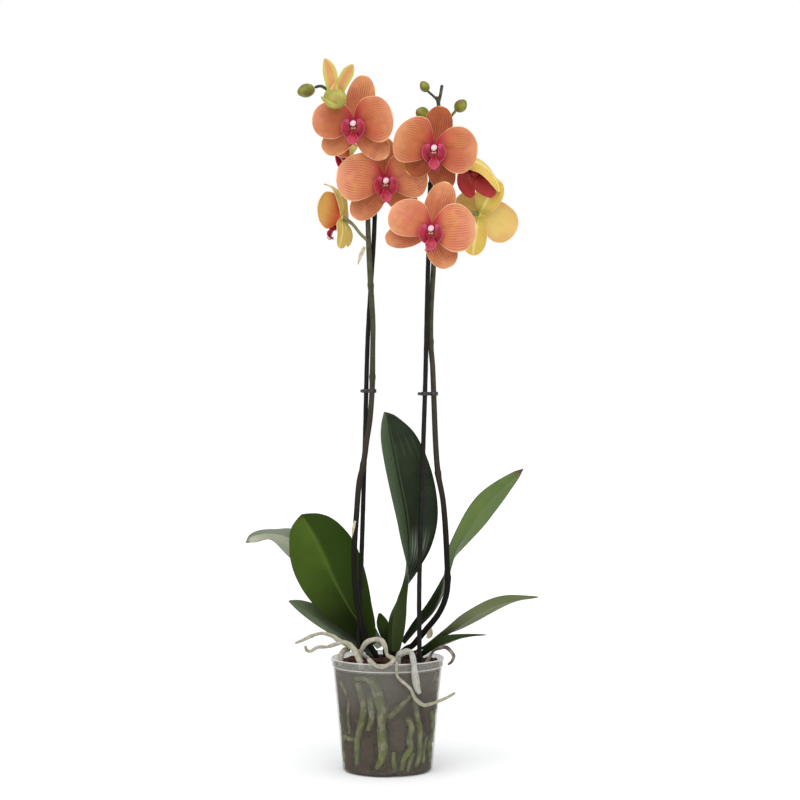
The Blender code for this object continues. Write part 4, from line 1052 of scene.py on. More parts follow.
SPIKE_RIGHT = [
    (15.8, 10, 125, 3.0), (20.5, 11, 128.5, 3.2), (26.8, 11, 131.5, 3.2), (32.8, 10.5, 138.5, 3.2),
    (40.4, 9.5, 147.7, 3.2), (54.4, 6.5, 165.6, 3.2), (62.4, 4, 183.7, 3.2), (64.8, 2, 201.6, 3.2),
    (63.9, 0, 225, 3.1), (62.3, -1, 258.4, 3.1), (59.4, -1.4, 290.6, 3.0), (54.3, -1.6, 318, 3.2),
    (51.7, -1.6, 350, 3.0), (49.6, -1.6, 403.4, 2.9), (48.4, -1.6, 433.5, 2.9), (46.4, -1.6, 459, 3.0),
    (46.8, -1.2, 494.6, 2.8), (49.6, 0, 544, 2.8), (50.2, 1.2, 574, 2.7), (48.3, 2.6, 606.7, 2.6),
    (46.9, 3.6, 630, 2.5), (47.9, 4.2, 655.6, 2.4), (51.1, 5, 682.6, 2.3), (54.4, 5, 704.2, 2.2),
    (54.9, 4.5, 715.9, 2.1), (52.8, 3.6, 723.2, 2.0),
]
STALKS_LEFT = [
    [(-22.6, 1.8, 650, 1.9), (-27.0, -6, 668, 1.7), (-32.0, -20, 682, 1.7), (-34.6, -38.5, 687.0, 2.3)],
    [(-20.9, -2.4, 607, 1.9), (-14.0, -5, 613, 1.7), (-7.0, -8, 623, 1.7), (-3.2, -17, 629.2, 2.3)],
    [(-20.3, -5, 567, 1.9), (-29.0, -6, 575, 1.7), (-38.0, -6, 586.0, 1.8), (-48.0, -5, 592.6, 2.4)],
    [(-21.2, 1.5, 640, 1.9), (-25.0, 14, 648, 1.7), (-30.0, 29, 657, 1.7), (-40.0, 38.2, 662.6, 2.4)],
    [(-53.0, -25, 717.6, 1.7), (-54.4, -35, 719.0, 1.5), (-55.0, -49.0, 717.2, 1.8)],
]
STALKS_RIGHT = [
    [(47.4, 3.9, 643, 1.9), (50.0, -9, 650, 1.7), (50.0, -24, 658.5, 1.7), (49.2, -36.6, 661.6, 2.3)],
    [(50.1, 1.0, 569, 1.9), (55.5, -12, 570, 1.7), (50.0, -38, 574, 1.7), (46.2, -58.6, 574.9, 2.3)],
    [(47.4, 4, 645, 1.9), (62.0, 8, 654, 1.7), (80.0, 6, 662, 1.8), (92.4, 1.6, 660.3, 2.3)],
    [(48.6, 2.2, 600, 1.9), (63.0, 1.5, 602, 1.7), (81.0, 2, 600.0, 1.8), (97.6, 7.0, 597.8, 2.4)],
    [(54.9, 4.3, 717.5, 1.9), (57.0, 3.2, 726, 1.7), (58.6, 3.0, 735.6, 1.8)],
    [(53.6, 4.0, 720.5, 1.7), (48.6, 1.0, 724.5, 1.3), (41.8, -3.6, 729.6, 1.4)],
    [(51.6, 5.0, 685, 1.8), (62.0, 4, 695, 1.4), (74.3, 0.8, 709.4, 1.6)],
    [(52.5, 5.0, 692, 1.8), (47.0, 1, 697, 1.4), (41.0, -6.2, 701.6, 1.6)],
]
NODES_LEFT = [184, 327.3, 421, 519.5, 607, 650]
NODES_RIGHT = [205, 318, 459, 569, 600, 643, 690]


def node_swell(levels):
    """Radius grows by a fifth at each node, where a ring scar circles the stem."""
    def swell(length, turn, point):
        bump = sum(math.exp(-((point[2] - z) / 3.2) ** 2) for z in levels)
        ring = sum(math.exp(-((point[2] - z - 1.5) / 0.9) ** 2) for z in levels)
        return 1 + 0.16 * bump + 0.07 * ring + 0.015 * math.sin(2 * turn + length * 0.05)
    return swell


for name, route, stalks, levels in (("spike_left", SPIKE_LEFT, STALKS_LEFT, NODES_LEFT),
                                    ("spike_right", SPIKE_RIGHT, STALKS_RIGHT, NODES_RIGHT)):
    shapes = [rod(route, 420, 16, swell=node_swell(levels))]
    shapes += [rod(rows, 30, 12, slot=1 if rows[0][2] < 710 else 2) for rows in stalks]
    make_piece(name + "_stem", merge(shapes), [stem_skin, stalk_skin, dark_stalk], [name])
print("spikes ready, stalks:", len(STALKS_LEFT) + len(STALKS_RIGHT))

# %% [markdown]
# A black clip holds each spike to its cane. It is a closed ring on the cane and an
# open ring on the stem, with a bridge between them and a thumb tab behind.

# %% Clips
HALF_WALL = 0.85


def row_at(route, height):
    rows = spline(route, 300)
    return rows[np.argmin(abs(rows[:, 2] - height))]


def band(x, y, inner, height, tall, start, sweep, count=40):
    """A moulded ring or part ring with rounded edges round an upright axis."""
    section = []
    for k in range(12):
        a = 2 * math.pi * k / 12
        section.append((HALF_WALL * math.copysign(abs(math.cos(a)) ** 0.5, math.cos(a)),
                        tall / 2 * math.copysign(abs(math.sin(a)) ** 0.35, math.sin(a))))
    verts, faces, maps = [], [], []
    closed = sweep > 359
    turns = [math.radians(start + sweep * i / (count if closed else count - 1)) for i in range(count)]
    for turn in turns:
        for out, up in section:
            reach = inner + HALF_WALL + out
            verts.append((x + reach * math.cos(turn), y + reach * math.sin(turn), height + up))
    total = len(turns)
    for i in range(total if closed else total - 1):
        for k in range(12):
            a, b = i * 12 + k, i * 12 + (k + 1) % 12
            c, d = ((i + 1) % total) * 12 + (k + 1) % 12, ((i + 1) % total) * 12 + k
            faces.append((a, d, c, b))
            maps.append(((k / 12, i / total),) * 4)
    if not closed:
        faces.append(tuple(range(12)))
        faces.append(tuple(reversed(range((total - 1) * 12, total * 12))))
        maps.extend([((0.0, 0.0),) * 12] * 2)
    return verts, faces, maps, [0] * len(faces)


CHAMFERED = [(-1, -0.7), (-1, 0.7), (-0.7, 1), (0.7, 1), (1, 0.7), (1, -0.7), (0.7, -1), (-0.7, -1)]
for name, stake, stem, height in (("clip_left", STAKE_LEFT, SPIKE_LEFT, 406.7),
                                  ("clip_right", STAKE_RIGHT, SPIKE_RIGHT, 403.7)):
    ax, ay, _, ar = row_at(stake, height)
    bx, by, _, br = row_at(stem, height)
    turn = math.atan2(by - ay, bx - ax)
    reach = math.hypot(bx - ax, by - ay)
    shapes = [band(ax, ay, ar + 0.1, height, 4.2, 0, 360),
              band(bx, by, br + 0.1, height, 4.2, math.degrees(turn) + 35, 290)]
    gap = reach - ar - br - 1.0
    middle = ar + 0.5 + gap / 2
    for away, size in ((middle, (max(gap, 1.5) + 1.0, 3.6, 3.4)), (-ar - 3.4, (4.6, 2.6, 3.2))):
        spot = (ax + math.cos(turn) * away, ay + math.sin(turn) * away, height)
        shapes.append(bar(spot, size, turn, CHAMFERED))
    make_piece(name + "_rings", merge(shapes), [clip_plastic], [name], sharp=40)
print("clips ready")

# %% [markdown]
# ## Leaves
# Each leaf is a thick waxy strap, folded into a channel along its midrib. The
# upper face is dark and glossy, the under face paler and duller, and the margin is
# a thin hard line. A blade is swept along the midrib. Its rows give half width,
# roll and fold, which is enough for the arch of one leaf and the twist of another.

# %% Leaf materials


def leaf_material(name, deep, light, roughness, share, shine, rib, painted_sheen=0.0, shade=0.5, tip=False,
                  side_light_and_shade=None, gleam=None):
    """Waxy leaf face. shade is painted shade that darkens it towards the base, the sheen
    setting paints pale lengthwise lines on the wax as a painted highlight, the side setting
    paints one side of the fold lighter on some leaves and darker on others, as painted light
    and shade, and gleam is a painted highlight where a soft light catches it."""
    wax = Paint(name, deep, roughness, Specular_IOR_Level=shine)
    side, along, _ = wax.place()
    veins = wax.lines(54.0, 0.5, 0.012, 3.0)
    cloud = wax.mottle(26.0, 5.0, 0.3, 0.72)
    fine = wax.mottle(420.0, 4.0, 0.3, 0.7)
    wax.over(light, cloud)
    wax.over(light, fine, 0.2)
    wax.over(light, veins, share)
    # painted shade: darker towards the base of the leaf
    wax.over(tuple(c * 0.22 for c in deep), wax.fade(along, 0.68, 0.20), shade)
    # the midrib band is paler; on the dark tall leaf its pale rib colour is a painted highlight along the
    # fold
    wax.over(rib, wax.midrib(0.022, 0.05), 0.45)
    if painted_sheen:
        # painted highlight: pale lengthwise lines in broken patches, a sheen on the wax
        streaks = wax.times(wax.lines(9.0, 0.45, 0.03, 1.5), wax.mottle(16.0, 3.0, 0.46, 0.68))
        wax.over((0.13, 0.15, 0.12), streaks, painted_sheen)
    wax.over((0.20, 0.22, 0.13), wax.specks(120.0, 0.07), 0.30)
    if tip:
        wax.over((0.12, 0.05, 0.03), wax.fade(along, 0.93, 1.0))
    wax.over((0.040, 0.028, 0.014), wax.margin(0.03, 0.02), 0.7)
    if side_light_and_shade:
        # painted light and shade: one side of the fold is painted lighter on the tall leaf, darker on the
        # front left leaf, and dark green along the edge of the back left leaf
        start, end, other = side_light_and_shade
        wax.over(other, wax.fade(side, start, end), 0.85)
    if gleam:
        rays = wax.ramp(wax.lines(17.0, 0.8, 0.04, 1.5), 0.6, 0.2)
        lit = wax.times(wax.fade(wax.off(along, gleam), 0.085, 0.0), wax.fade(side, 0.48, 0.60),
                        wax.fade(side, 0.97, 0.78), rays)
        wax.over((0.19, 0.23, 0.17), lit)
    relief = wax.plus(wax.times(veins, 0.5), wax.times(fine, 0.5))
    return wax.finish(relief, 0.00025, 0.35, wax.ramp(cloud, 0.14, roughness - 0.07))


# tall leaf: its pale rib colour, sheen, lighter side and gleam are painted highlights and painted light on
# the dark glossy face
leaf_dark = leaf_material("leaf_dark_upper", (0.0040, 0.0085, 0.0022), (0.013, 0.025, 0.006), 0.24, 0.3,
                          0.20, (0.090, 0.115, 0.060), painted_sheen=0.9, shade=0.0,
                          side_light_and_shade=(0.47, 0.36, (0.085, 0.122, 0.066)), gleam=0.44)
leaf_low = leaf_material("leaf_low_upper", (0.014, 0.030, 0.0035), (0.028, 0.052, 0.008), 0.45, 0.3,
                         0.05, (0.045, 0.070, 0.020), shade=0.8)
leaf_olive = leaf_material("leaf_olive_under", (0.030, 0.046, 0.010), (0.048, 0.070, 0.018), 0.45, 0.35,
                           0.06, (0.060, 0.078, 0.030), shade=0.5)
# front left leaf: the right side of the fold is painted darker, as painted shade
leaf_mid = leaf_material("leaf_mid_upper", (0.037, 0.070, 0.0075), (0.060, 0.101, 0.0130), 0.46, 0.25,
                         0.05, (0.080, 0.115, 0.024), shade=1.0, side_light_and_shade=(0.50, 0.58, (0.018, 0.038, 0.0035)))
leaf_grey = leaf_material("leaf_grey_upper", (0.066, 0.094, 0.038), (0.130, 0.168, 0.086), 0.35, 0.35,
                          0.3, (0.016, 0.026, 0.008), painted_sheen=0.3, shade=0.9)
# back left leaf: its pale grey-green colours paint the sky's reflection on the glossy face, and the side
# setting keeps a dark green edge
leaf_sky_reflection = leaf_material("leaf_sky_reflection_upper", (0.190, 0.230, 0.115), (0.370, 0.390, 0.270), 0.22, 0.35,
                          0.7, (0.10, 0.13, 0.07), painted_sheen=0.3, shade=0.2,
                          side_light_and_shade=(0.56, 0.72, (0.055, 0.085, 0.032)))
leaf_under = leaf_material("leaf_under", (0.080, 0.135, 0.024), (0.125, 0.185, 0.045), 0.5, 0.4, 0.12,
                           (0.14, 0.19, 0.06), shade=0.7, tip=True)
leaf_straw = leaf_material("leaf_straw_under", (0.100, 0.130, 0.040), (0.175, 0.195, 0.095), 0.5, 0.6,
                           0.08, (0.21, 0.23, 0.13), shade=0.6, tip=True)
print("leaf finishes:", [m.name for m in bpy.data.materials if m.name.startswith("leaf")])

# %% [markdown]
# Leaves are thick straps with a deep fold at the base. Every row below gives the
# middle of the leaf, its half width, how it leans and how much it folds.

# %% Leaf shapes
LEAVES = {
    "leaf_front_left": (leaf_mid, leaf_under, [
        (-18.5, 11, 131.5, 8, 0, 28), (-28.7, 13.5, 152, 18, -8, 24), (-40.6, 14.5, 170.3, 27, -10, 21),
        (-52.4, 15, 191, 34, -11, 17), (-62, 15, 210, 37.5, -11, 15), (-70.8, 14.5, 229.7, 37.5, -11, 14),
        (-79.4, 12, 248, 32, -10, 13), (-88, 11, 263.5, 21, -10, 12), (-93.0, 10, 273.5, 6, -10, 10)]),
    "leaf_back_left": (leaf_sky_reflection, leaf_under, [
        (-8.5, 23, 128, 6, -40, 25), (-38, 34, 166, 15, -52, 20), (-74, 35, 207, 24, -56, 16),
        (-104, 35, 237.5, 25, -58, 12), (-127, 36, 247, 21, -78, 10), (-146, 35, 245.5, 12, -66, 8),
        (-155, 34, 241, 2.5, -62, 8)]),
    "leaf_low_left": (leaf_grey, leaf_under, [
        (-13, 15, 120, 6, -50, 24), (-31, 15, 131.5, 8.5, -55, 24), (-48, 15, 141.8, 14, -58, 22),
        (-66.6, 15, 153.7, 17, -60, 20), (-82, 15, 164.5, 16, -60, 18), (-96, 15, 173.7, 10, -60, 15),
        (-107, 15, 179.6, 1.5, -60, 12)]),
    "leaf_tall": (leaf_dark, leaf_olive, [
        (6.5, -9, 128, 7, -150, 25), (6.5, -8, 148, 12, -145, 28), (8, -4, 166, 13.0, -138, 28),
        (12.2, 1, 183, 11, -118, 28), (17.5, 5, 198, 10.5, -92, 28), (21.0, 8, 214, 16, -66, 30),
        (22.6, 10, 240, 28, -47, 33), (20.2, 12, 272.6, 36.5, -40, 36), (12.3, 13, 313.7, 38, -38, 37),
        (4.2, 13, 353.7, 28, -36, 33), (-0.7, 13, 376, 12, -36, 28), (-3.6, 13, 384, 4, -36, 25)]),
    "leaf_right": (leaf_low, leaf_under, [
        (17.5, 19, 133, 5, 60, 26), (33, 23, 150.6, 9, 62, 26), (49, 26, 167, 13, 68, 26),
        (59, 26, 185, 15, 78, 24), (65, 25, 204, 16, 92, 20), (70.5, 24, 224, 18, 106, 14),
        (76, 24, 238, 21, 114, 8), (93.7, 24, 264.6, 24, 124, 4), (107.8, 24, 283.6, 24.5, 125, 3),
        (122, 24, 298.8, 20, 124, 3), (139.3, 25, 315, 10, 121, 3), (147.4, 25, 322, 1.5, 120, 3)]),
    "leaf_low_right": (leaf_low, leaf_straw, [
        (19, 0.5, 121.5, 4, 90, 26), (36, 0, 129, 4.6, 94, 26), (56, 1, 141, 9.5, 106, 22),
        (72.7, 3, 150.6, 14.5, 116, 16), (88.4, 5, 161.4, 17.5, 120, 8), (111.6, 6, 174.0, 17.5, 120, 6),
        (130, 5, 180.2, 14.5, 116, 9), (146, 3, 183.4, 9, 110, 8), (162, 1, 185.0, 1.5, 105, 8)]),
    "leaf_short_right": (leaf_low, leaf_low, [
        (22, -1, 115.5, 4.5, 92, 22), (37, 0, 122.5, 7.5, 108, 22), (50, 1, 130.5, 12, 119, 18),
        (62, -1, 137.0, 13, 120, 14), (73, -5, 141.5, 10, 117, 12), (88, -11, 145, 5.5, 108, 12),
        (105, -17, 146.5, 1.2, 98, 10)]),
    "leaf_small_back": (leaf_low, leaf_under, [
        (0.5, 20, 131, 5, 0, 24), (-2, 22.5, 143, 7, 0, 22), (-6, 25, 155, 6.5, 0, 18),
        (-9, 27, 165, 1.5, 0, 15)]),
}


def strap(rows, count=90, columns=25, seed=1, rib=0.8, plate=1.9, slots=(0, 1)):
    """A strap-shaped blade; rows are x, y, z, half width, roll and fold in degrees."""
    data = spline(rows, count)
    points, tangents = data[:, :3], directions(data[:, :3])
    across, normals, halves = [], [], []
    for i, (tangent, row) in enumerate(zip(tangents, data)):
        front = np.array((0.0, -1.0, 0.0))
        face = unit(front - tangent * np.dot(front, tangent))
        side = np.cross(tangent, face)
        roll = math.radians(row[4])
        across.append(math.cos(roll) * side + math.sin(roll) * face)
        normals.append(math.cos(roll) * face - math.sin(roll) * side)
        left = (count - 1 - i) / (0.04 * count)
        halves.append(max(row[3] * math.sqrt(min(1.0, 1 - (1 - min(left, 1.0)) ** 2)), 0.5))
    ripple = wave(points, seed, 30.0)

    def shape_at(u, i):
        fold = math.radians(data[i, 5])
        gutter = math.sqrt(u * u + 0.006) - math.sqrt(0.006)
        return u * math.cos(fold), gutter * math.sin(fold) - 0.05 * u * u + 0.025 * ripple[i] * u * u

    def thick_at(u, v, half):
        body = rib * math.exp(-((u / 0.12) ** 2)) + plate * (1 - u * u) + 0.3 * plate
        return min(body, 0.3 * plate + half * 0.35)

    return blade(points, np.array(across), np.array(normals), np.array(halves), shape_at, thick_at,
                 columns, slots)


for seed, (name, (upper, under, rows)) in enumerate(LEAVES.items()):
    make_piece(name + "_blade", strap(rows, seed=seed), [upper, under], [name], sharp=75)
crown_rows = [(3, 5, 112, 7.4), (3, 6, 121, 8.4), (2.6, 7, 129, 7.6), (2.4, 7.6, 136, 4.0)]
make_piece("crown_stem", rod(crown_rows, 30, 24, swell=root_swell(90)), [stem_skin], ["crown"])
print("leaves:", len(LEAVES))

# %% [markdown]
# ## Flowers
# A moth orchid flower has three sepals behind two broad petals, and in front a
# waxy three-lobed lip under the column. The colour is drawn in the blade's own
# map: a magenta heart, a salmon field, dark veins that fan out from the claw and
# a pale rim. The backs are yellow. Petals and sepals get their own finishes,
# because sepals are browner and more strongly lined.

# %% Tepal materials


def tepal_material(name, heart, field, blush, rim, vein, lines, vein_share, heart_end=0.4, centre=None,
                   inner=None, edge=None, outer=None):
    """One face of a tepal: field and blush mix, dark veins fan out, the heart is at the claw."""
    skin = Paint(name, field, 0.5, Sheen_Weight=0.08, Sheen_Roughness=0.4, Specular_IOR_Level=0.25)
    along = skin.place()[1]
    skin.over(blush, skin.mottle(34.0, 4.0, 0.42, 0.57), 0.75)
    skin.over(outer or blush, skin.margin(0.45, 0.42), 0.75 if outer else 0.55)
    if inner:
        skin.over(inner, skin.fade(along, 0.80, 0.30), 0.74)
    twigs = skin.times(skin.lines(lines * 1.9, 0.36, 0.05, 3.0), skin.fade(along, 0.20, 0.55), 0.8)
    veins = math_node(skin.tree, "MAXIMUM", skin.lines(lines, 0.42, 0.035, 2.0), twigs)
    veins = skin.times(veins, skin.mottle(90.0, 4.0, 0.30, 0.56), skin.fade(along, 1.0, 0.75), vein_share)
    skin.over(vein, veins)
    if edge:
        skin.colour = skin.blend(skin.midrib(0.25, 0.50), edge, skin.colour)
    if centre:
        skin.over(centre, skin.midrib(0.06, 0.10), 0.8)
    skin.over(heart, skin.fade(along, heart_end, 0.05))
    skin.over(rim, skin.margin(0.032, 0.022), 0.85)
    relief = skin.plus(skin.times(veins, 0.8), skin.times(skin.specks(2600.0, 0.5), 0.15))
    return skin.finish(relief, 0.0003, 0.4)


petal_front = tepal_material("petal_front", (0.40, 0.016, 0.034), (0.64, 0.325, 0.092),
                             (0.58, 0.170, 0.110), (0.86, 0.60, 0.37), (0.38, 0.062, 0.040), 19.0, 0.90,
                             0.34, inner=(0.54, 0.140, 0.058), outer=(0.68, 0.300, 0.155))
petal_deep = tepal_material("petal_deep", (0.38, 0.012, 0.030), (0.49, 0.190, 0.054),
                            (0.46, 0.115, 0.056), (0.80, 0.50, 0.27), (0.32, 0.046, 0.028), 19.0, 0.90,
                            0.36, inner=(0.43, 0.082, 0.028), outer=(0.64, 0.260, 0.125))
sepal_front = tepal_material("sepal_front", (0.36, 0.030, 0.030), (0.60, 0.230, 0.080),
                             (0.50, 0.140, 0.064), (0.80, 0.54, 0.30), (0.24, 0.034, 0.018), 13.0, 0.95,
                             0.24, inner=(0.44, 0.100, 0.034), outer=(0.64, 0.270, 0.120))
sepal_deep = tepal_material("sepal_deep", (0.32, 0.022, 0.022), (0.44, 0.130, 0.030),
                            (0.34, 0.072, 0.018), (0.74, 0.42, 0.16), (0.15, 0.016, 0.006), 13.0, 0.95,
                            0.24, inner=(0.32, 0.050, 0.012))
petal_back = tepal_material("petal_back", (0.62, 0.46, 0.10), (0.74, 0.56, 0.16), (0.72, 0.42, 0.16),
                            (0.80, 0.60, 0.32), (0.66, 0.36, 0.10), 15.0, 0.45, 0.3)
sepal_back = tepal_material("sepal_back", (0.50, 0.42, 0.07), (0.72, 0.53, 0.12), (0.66, 0.44, 0.09),
                            (0.78, 0.60, 0.28), (0.50, 0.34, 0.05), 15.0, 0.5, 0.3, (0.78, 0.70, 0.26))
side_petal = tepal_material("petal_translucent", (0.56, 0.10, 0.03), (0.70, 0.46, 0.11),
                            (0.66, 0.34, 0.09), (0.76, 0.56, 0.24), (0.54, 0.20, 0.05), 15.0, 0.5, 0.85)
young_red = tepal_material("young_inner_face", (0.16, 0.004, 0.014), (0.46, 0.036, 0.026),
                           (0.34, 0.018, 0.020), (0.56, 0.22, 0.08), (0.16, 0.006, 0.008), 11.0, 0.8, 0.6)
young_yellow = tepal_material("young_outer_face", (0.40, 0.42, 0.10), (0.66, 0.30, 0.11),
                              (0.58, 0.24, 0.10), (0.52, 0.46, 0.13), (0.42, 0.26, 0.06), 9.0, 0.45, 0.30,
                              edge=(0.54, 0.45, 0.10))
print("tepal finishes ready:", len(bpy.data.materials), "materials so far")

# %% [markdown]
# The lip is a deep waxy magenta with paler margins, and the throat behind it is
# striped. The column and its cap are a glossy pinkish white.

# %% Lip and column materials
fleshy = Paint("lip_wax", (0.27, 0.004, 0.016), 0.32, Specular_IOR_Level=0.4)
stripes = fleshy.lines(6.0, 0.5, 0.1, 3.0)
fleshy.over((0.46, 0.010, 0.032), fleshy.mottle(180.0, 3.0))
fleshy.over((0.10, 0.002, 0.006), stripes, fleshy.fade(fleshy.place()[1], 0.85, 0.2))
fleshy.over((0.56, 0.075, 0.20), fleshy.margin(0.26, 0.24), 0.80)
lip_wax = fleshy.finish(stripes, 0.0002, 0.4)

throat = Paint("throat_wax", (0.14, 0.002, 0.006), 0.4, Specular_IOR_Level=0.3)
furrows = throat.lines(9.0, 0.5, 0.08, 3.0)
throat.over((0.42, 0.030, 0.020), furrows)
throat_wax = throat.finish(furrows, 0.0002, 0.3)

pearly = Paint("column_wax", (0.74, 0.46, 0.52), 0.35, Specular_IOR_Level=0.4)
pearl = pearly.mottle(500.0, 2.0)
pearly.over((0.84, 0.68, 0.68), pearl)
pearly.over((0.50, 0.03, 0.16), pearly.fade(pearly.place()[1], 0.52, 0.15))
column_wax = pearly.finish(pearl, 0.0002, 0.3)

callus = Paint("callus_wax", (0.62, 0.30, 0.20), 0.4, Specular_IOR_Level=0.4)
freckles = callus.specks(900.0, 0.5)
callus.over((0.36, 0.020, 0.035), freckles)
callus_wax = callus.finish(freckles, 0.0002, 0.3)
print("finishes:", lip_wax.name, throat_wax.name, column_wax.name, callus_wax.name)

# %% [markdown]
# A tepal is a blade that leaves the hub at one slope and ends at another. A petal is
# broad and round and fuller on its upper side, and a sepal is narrower and keeled.

# %% Tepals
HUB = 2.0


def flower_frame(facing):
    """The right, up and forward ways of a flower that looks along facing."""
    forward = unit(np.array(facing, dtype=float))
    right = unit(np.cross((0, 0, 1), forward))
    return right, np.cross(forward, right), forward


def tepal_width(t, widest, claw):
    """Share of the half width at a share of the length: fast growth, then a round end."""
    if t < widest:
        return claw + (1 - claw) * math.sin(t / widest * math.pi / 2) ** 0.9
    return math.sqrt(max(0.0, 1 - ((t - widest) / (1 - widest)) ** 2.2))


def tepal(centre, axes, angle, length, half, start, end, recurve, broad, seed, slots, rows=46,
          columns=29):
    """One tepal: a blade whose slope runs from start to end along its length.

    A petal is fuller on its upper side, so each side has its own width curve."""
    right, up, forward = axes
    turn = math.radians(angle)
    out_way = right * math.cos(turn) + up * math.sin(turn)
    side_way = -right * math.sin(turn) + up * math.cos(turn)
    share = np.sin(np.linspace(0, 1, rows) * math.pi / 2) ** 1.05
    fine = np.linspace(0, 1, 81)
    slope = np.radians(start + (end - start) * fine)
    step = (length - HUB) / 80
    out = HUB + np.concatenate([[0], np.cumsum(np.cos(slope[:-1]) * step)])
    rise = np.concatenate([[0], np.cumsum(np.sin(slope[:-1]) * step)])
    outs, rises = np.interp(share, fine, out), np.interp(share, fine, rise)
    slopes = np.interp(share, fine, slope)
    points = [centre + out_way * o + forward * r for o, r in zip(outs, rises)]
    normals = [forward * math.cos(s) - out_way * math.sin(s) for s in slopes]
    upper = 1 if math.cos(turn) > 0 else -1
    rng = np.random.default_rng(seed)
    phase, twist = rng.uniform(0, 6.3), rng.normal() * 0.05

    def width_at(u, t):
        if not broad:
            return max(tepal_width(t, 0.52, 0.26), 0.03)
        mix = 0.5 + 0.5 * u * upper
        edge = 1 + 0.035 * math.sin(7.0 * t + phase + 2.0 * u) * abs(u)
        return edge * max(tepal_width(t, 0.42, 0.30) * mix + tepal_width(t, 0.60, 0.24) * (1 - mix), 0.03)

    def shape_at(u, i):
        t = share[i]
        wide = width_at(u, t)
        lift = -recurve * u * u + twist * u * t
        lift += 0.09 * math.sin(6.0 * t + phase + u * 1.7) * u * u
        lift -= (0.07 if broad else 0.12) * math.exp(-((u / 0.10) ** 2)) * (1 - t)
        return u * wide, lift * wide

    def thick_at(u, t, width):
        return min(0.9 - 0.35 * abs(u) + 0.3 * (1 - t), 0.3 + width_at(u, t) * half * 0.3)

    return blade(np.array(points), np.array([side_way] * rows), np.array(normals),
                 np.full(rows, float(half)), shape_at, thick_at, columns, slots, share)


print("hub radius", HUB, "mm")

# %% [markdown]
# The same tepals are set at the angles and sizes of each bloom, with their own curl,
# so that no two blooms are alike. Every bloom has a place, a way it faces and five
# tepals: upper sepal, left petal, left sepal, right sepal and right petal.

# %% Blooms


def tepals_of(angles, lengths, halves, petal=(32, -14), sepal=(-28, 10), recurve=(0.10, 0.08),
              dorsal=None, slots=((0, 2), (1, 3))):
    """Dorsal sepal, left petal, left sepal, right sepal and right petal, seen from the front."""
    made = []
    for k, (angle, length, half) in enumerate(zip(angles, lengths, halves)):
        broad = k in (1, 4)
        start, end = petal if broad else (dorsal if dorsal and k == 0 else sepal)
        made.append((angle, length, half, start, end, recurve[0] if broad else recurve[1], broad,
                     slots[0] if broad else slots[1]))
    return made


SIDE, DEEP = ((0, 4), (1, 3)), ((7, 2), (8, 3))
FLOWERS = {
    "left_1": dict(at=(-34.8, -40, 687.1), facing=(-0.10, -1, 0.02), size=1.0,
                   tepals=tepals_of((80, 169, 219, 315, 14), (56.5, 46, 44, 49, 44),
                                    (15.5, 20.5, 14.5, 14.5, 25.5), slots=((7, 2), (1, 3)))),
    "left_2": dict(at=(-2.5, -18, 629.8), facing=(0.10, -1, -0.02), size=1.02,
                   tepals=tepals_of((92, 172, 230, 318, 16), (50, 55, 52, 46, 47),
                                    (15, 26, 15.5, 15, 25))),
    "left_3": dict(at=(-49.3, -5, 592.6), facing=(-0.86, 0.42, 0.05), size=1.0,
                   tepals=tepals_of((88, 158, 250, 292, 18), (47, 38, 33, 36, 39),
                                    (11.5, 18, 9, 14.5, 21), petal=(38, -4), sepal=(-26, 10),
                                    dorsal=(-14, 82), slots=SIDE)),
    "left_4": dict(at=(-41.3, 38.5, 663), facing=(-0.90, 0.30, -0.04), size=1.0,
                   tepals=tepals_of((90, 140, 240, 299, 40), (38, 38, 30, 34, 38),
                                    (11.5, 15, 10, 11.5, 15), petal=(34, -8), slots=SIDE)),
    "right_1": dict(at=(48.9, -38, 661.8), facing=(0.02, -1, 0.0), size=1.02,
                    tepals=tepals_of((79, 158, 222, 290, 357), (49, 45, 38, 46, 48),
                                     (15.5, 26, 14, 14.5, 25), slots=DEEP)),
    "right_2": dict(at=(45.9, -60, 575), facing=(-0.04, -1, 0.02), size=1.02,
                    tepals=tepals_of((72, 154, 191, 297, 2), (55, 49, 51, 45, 49),
                                     (16, 20.5, 13, 16, 25.5))),
    "right_4": dict(at=(99.0, 8.6, 597.6), facing=(0.30, 1, 0.10), size=0.95,
                    tepals=tepals_of((124, 204, 278, 340, 28), (45, 45, 46, 42, 34),
                                     (15, 21.5, 13.5, 12.5, 17.5), petal=(34, -8))),
}


print("blooms:", list(FLOWERS))

# %% [markdown]
# The lip is waxy and three-lobed: two raised side lobes, a pointed middle lobe that
# ends in two tendrils, and a callus under the white column with its cap.

# %% Lips and flowers


def lobe(at, rows, across, thick=0.9, cup=0.0):
    """A lip lobe: rows are x, y, z, half width in the flower's own axes; across(row) is its side way."""
    data = spline(rows, 26)
    tangents = directions(data[:, :3])
    ways = [unit(np.array(across(row), dtype=float)) for row in data]
    points = np.array([at(*row[:3]) for row in data])
    origin = at(0, 0, 0)
    sides = np.array([unit(at(*way) - origin) for way in ways])
    normals = np.array([unit(at(*unit(np.cross(t, way))) - origin) for t, way in zip(tangents, ways)])

    def shape_at(u, i):
        return u, cup * u * u

    def thick_at(u, v, width):
        return min(thick * (1.1 - 0.4 * abs(u)), 0.35 + width * 0.35)

    return blade(points, sides, normals, np.maximum(data[:, 3], 0.25), shape_at, thick_at, 15, (0, 0))


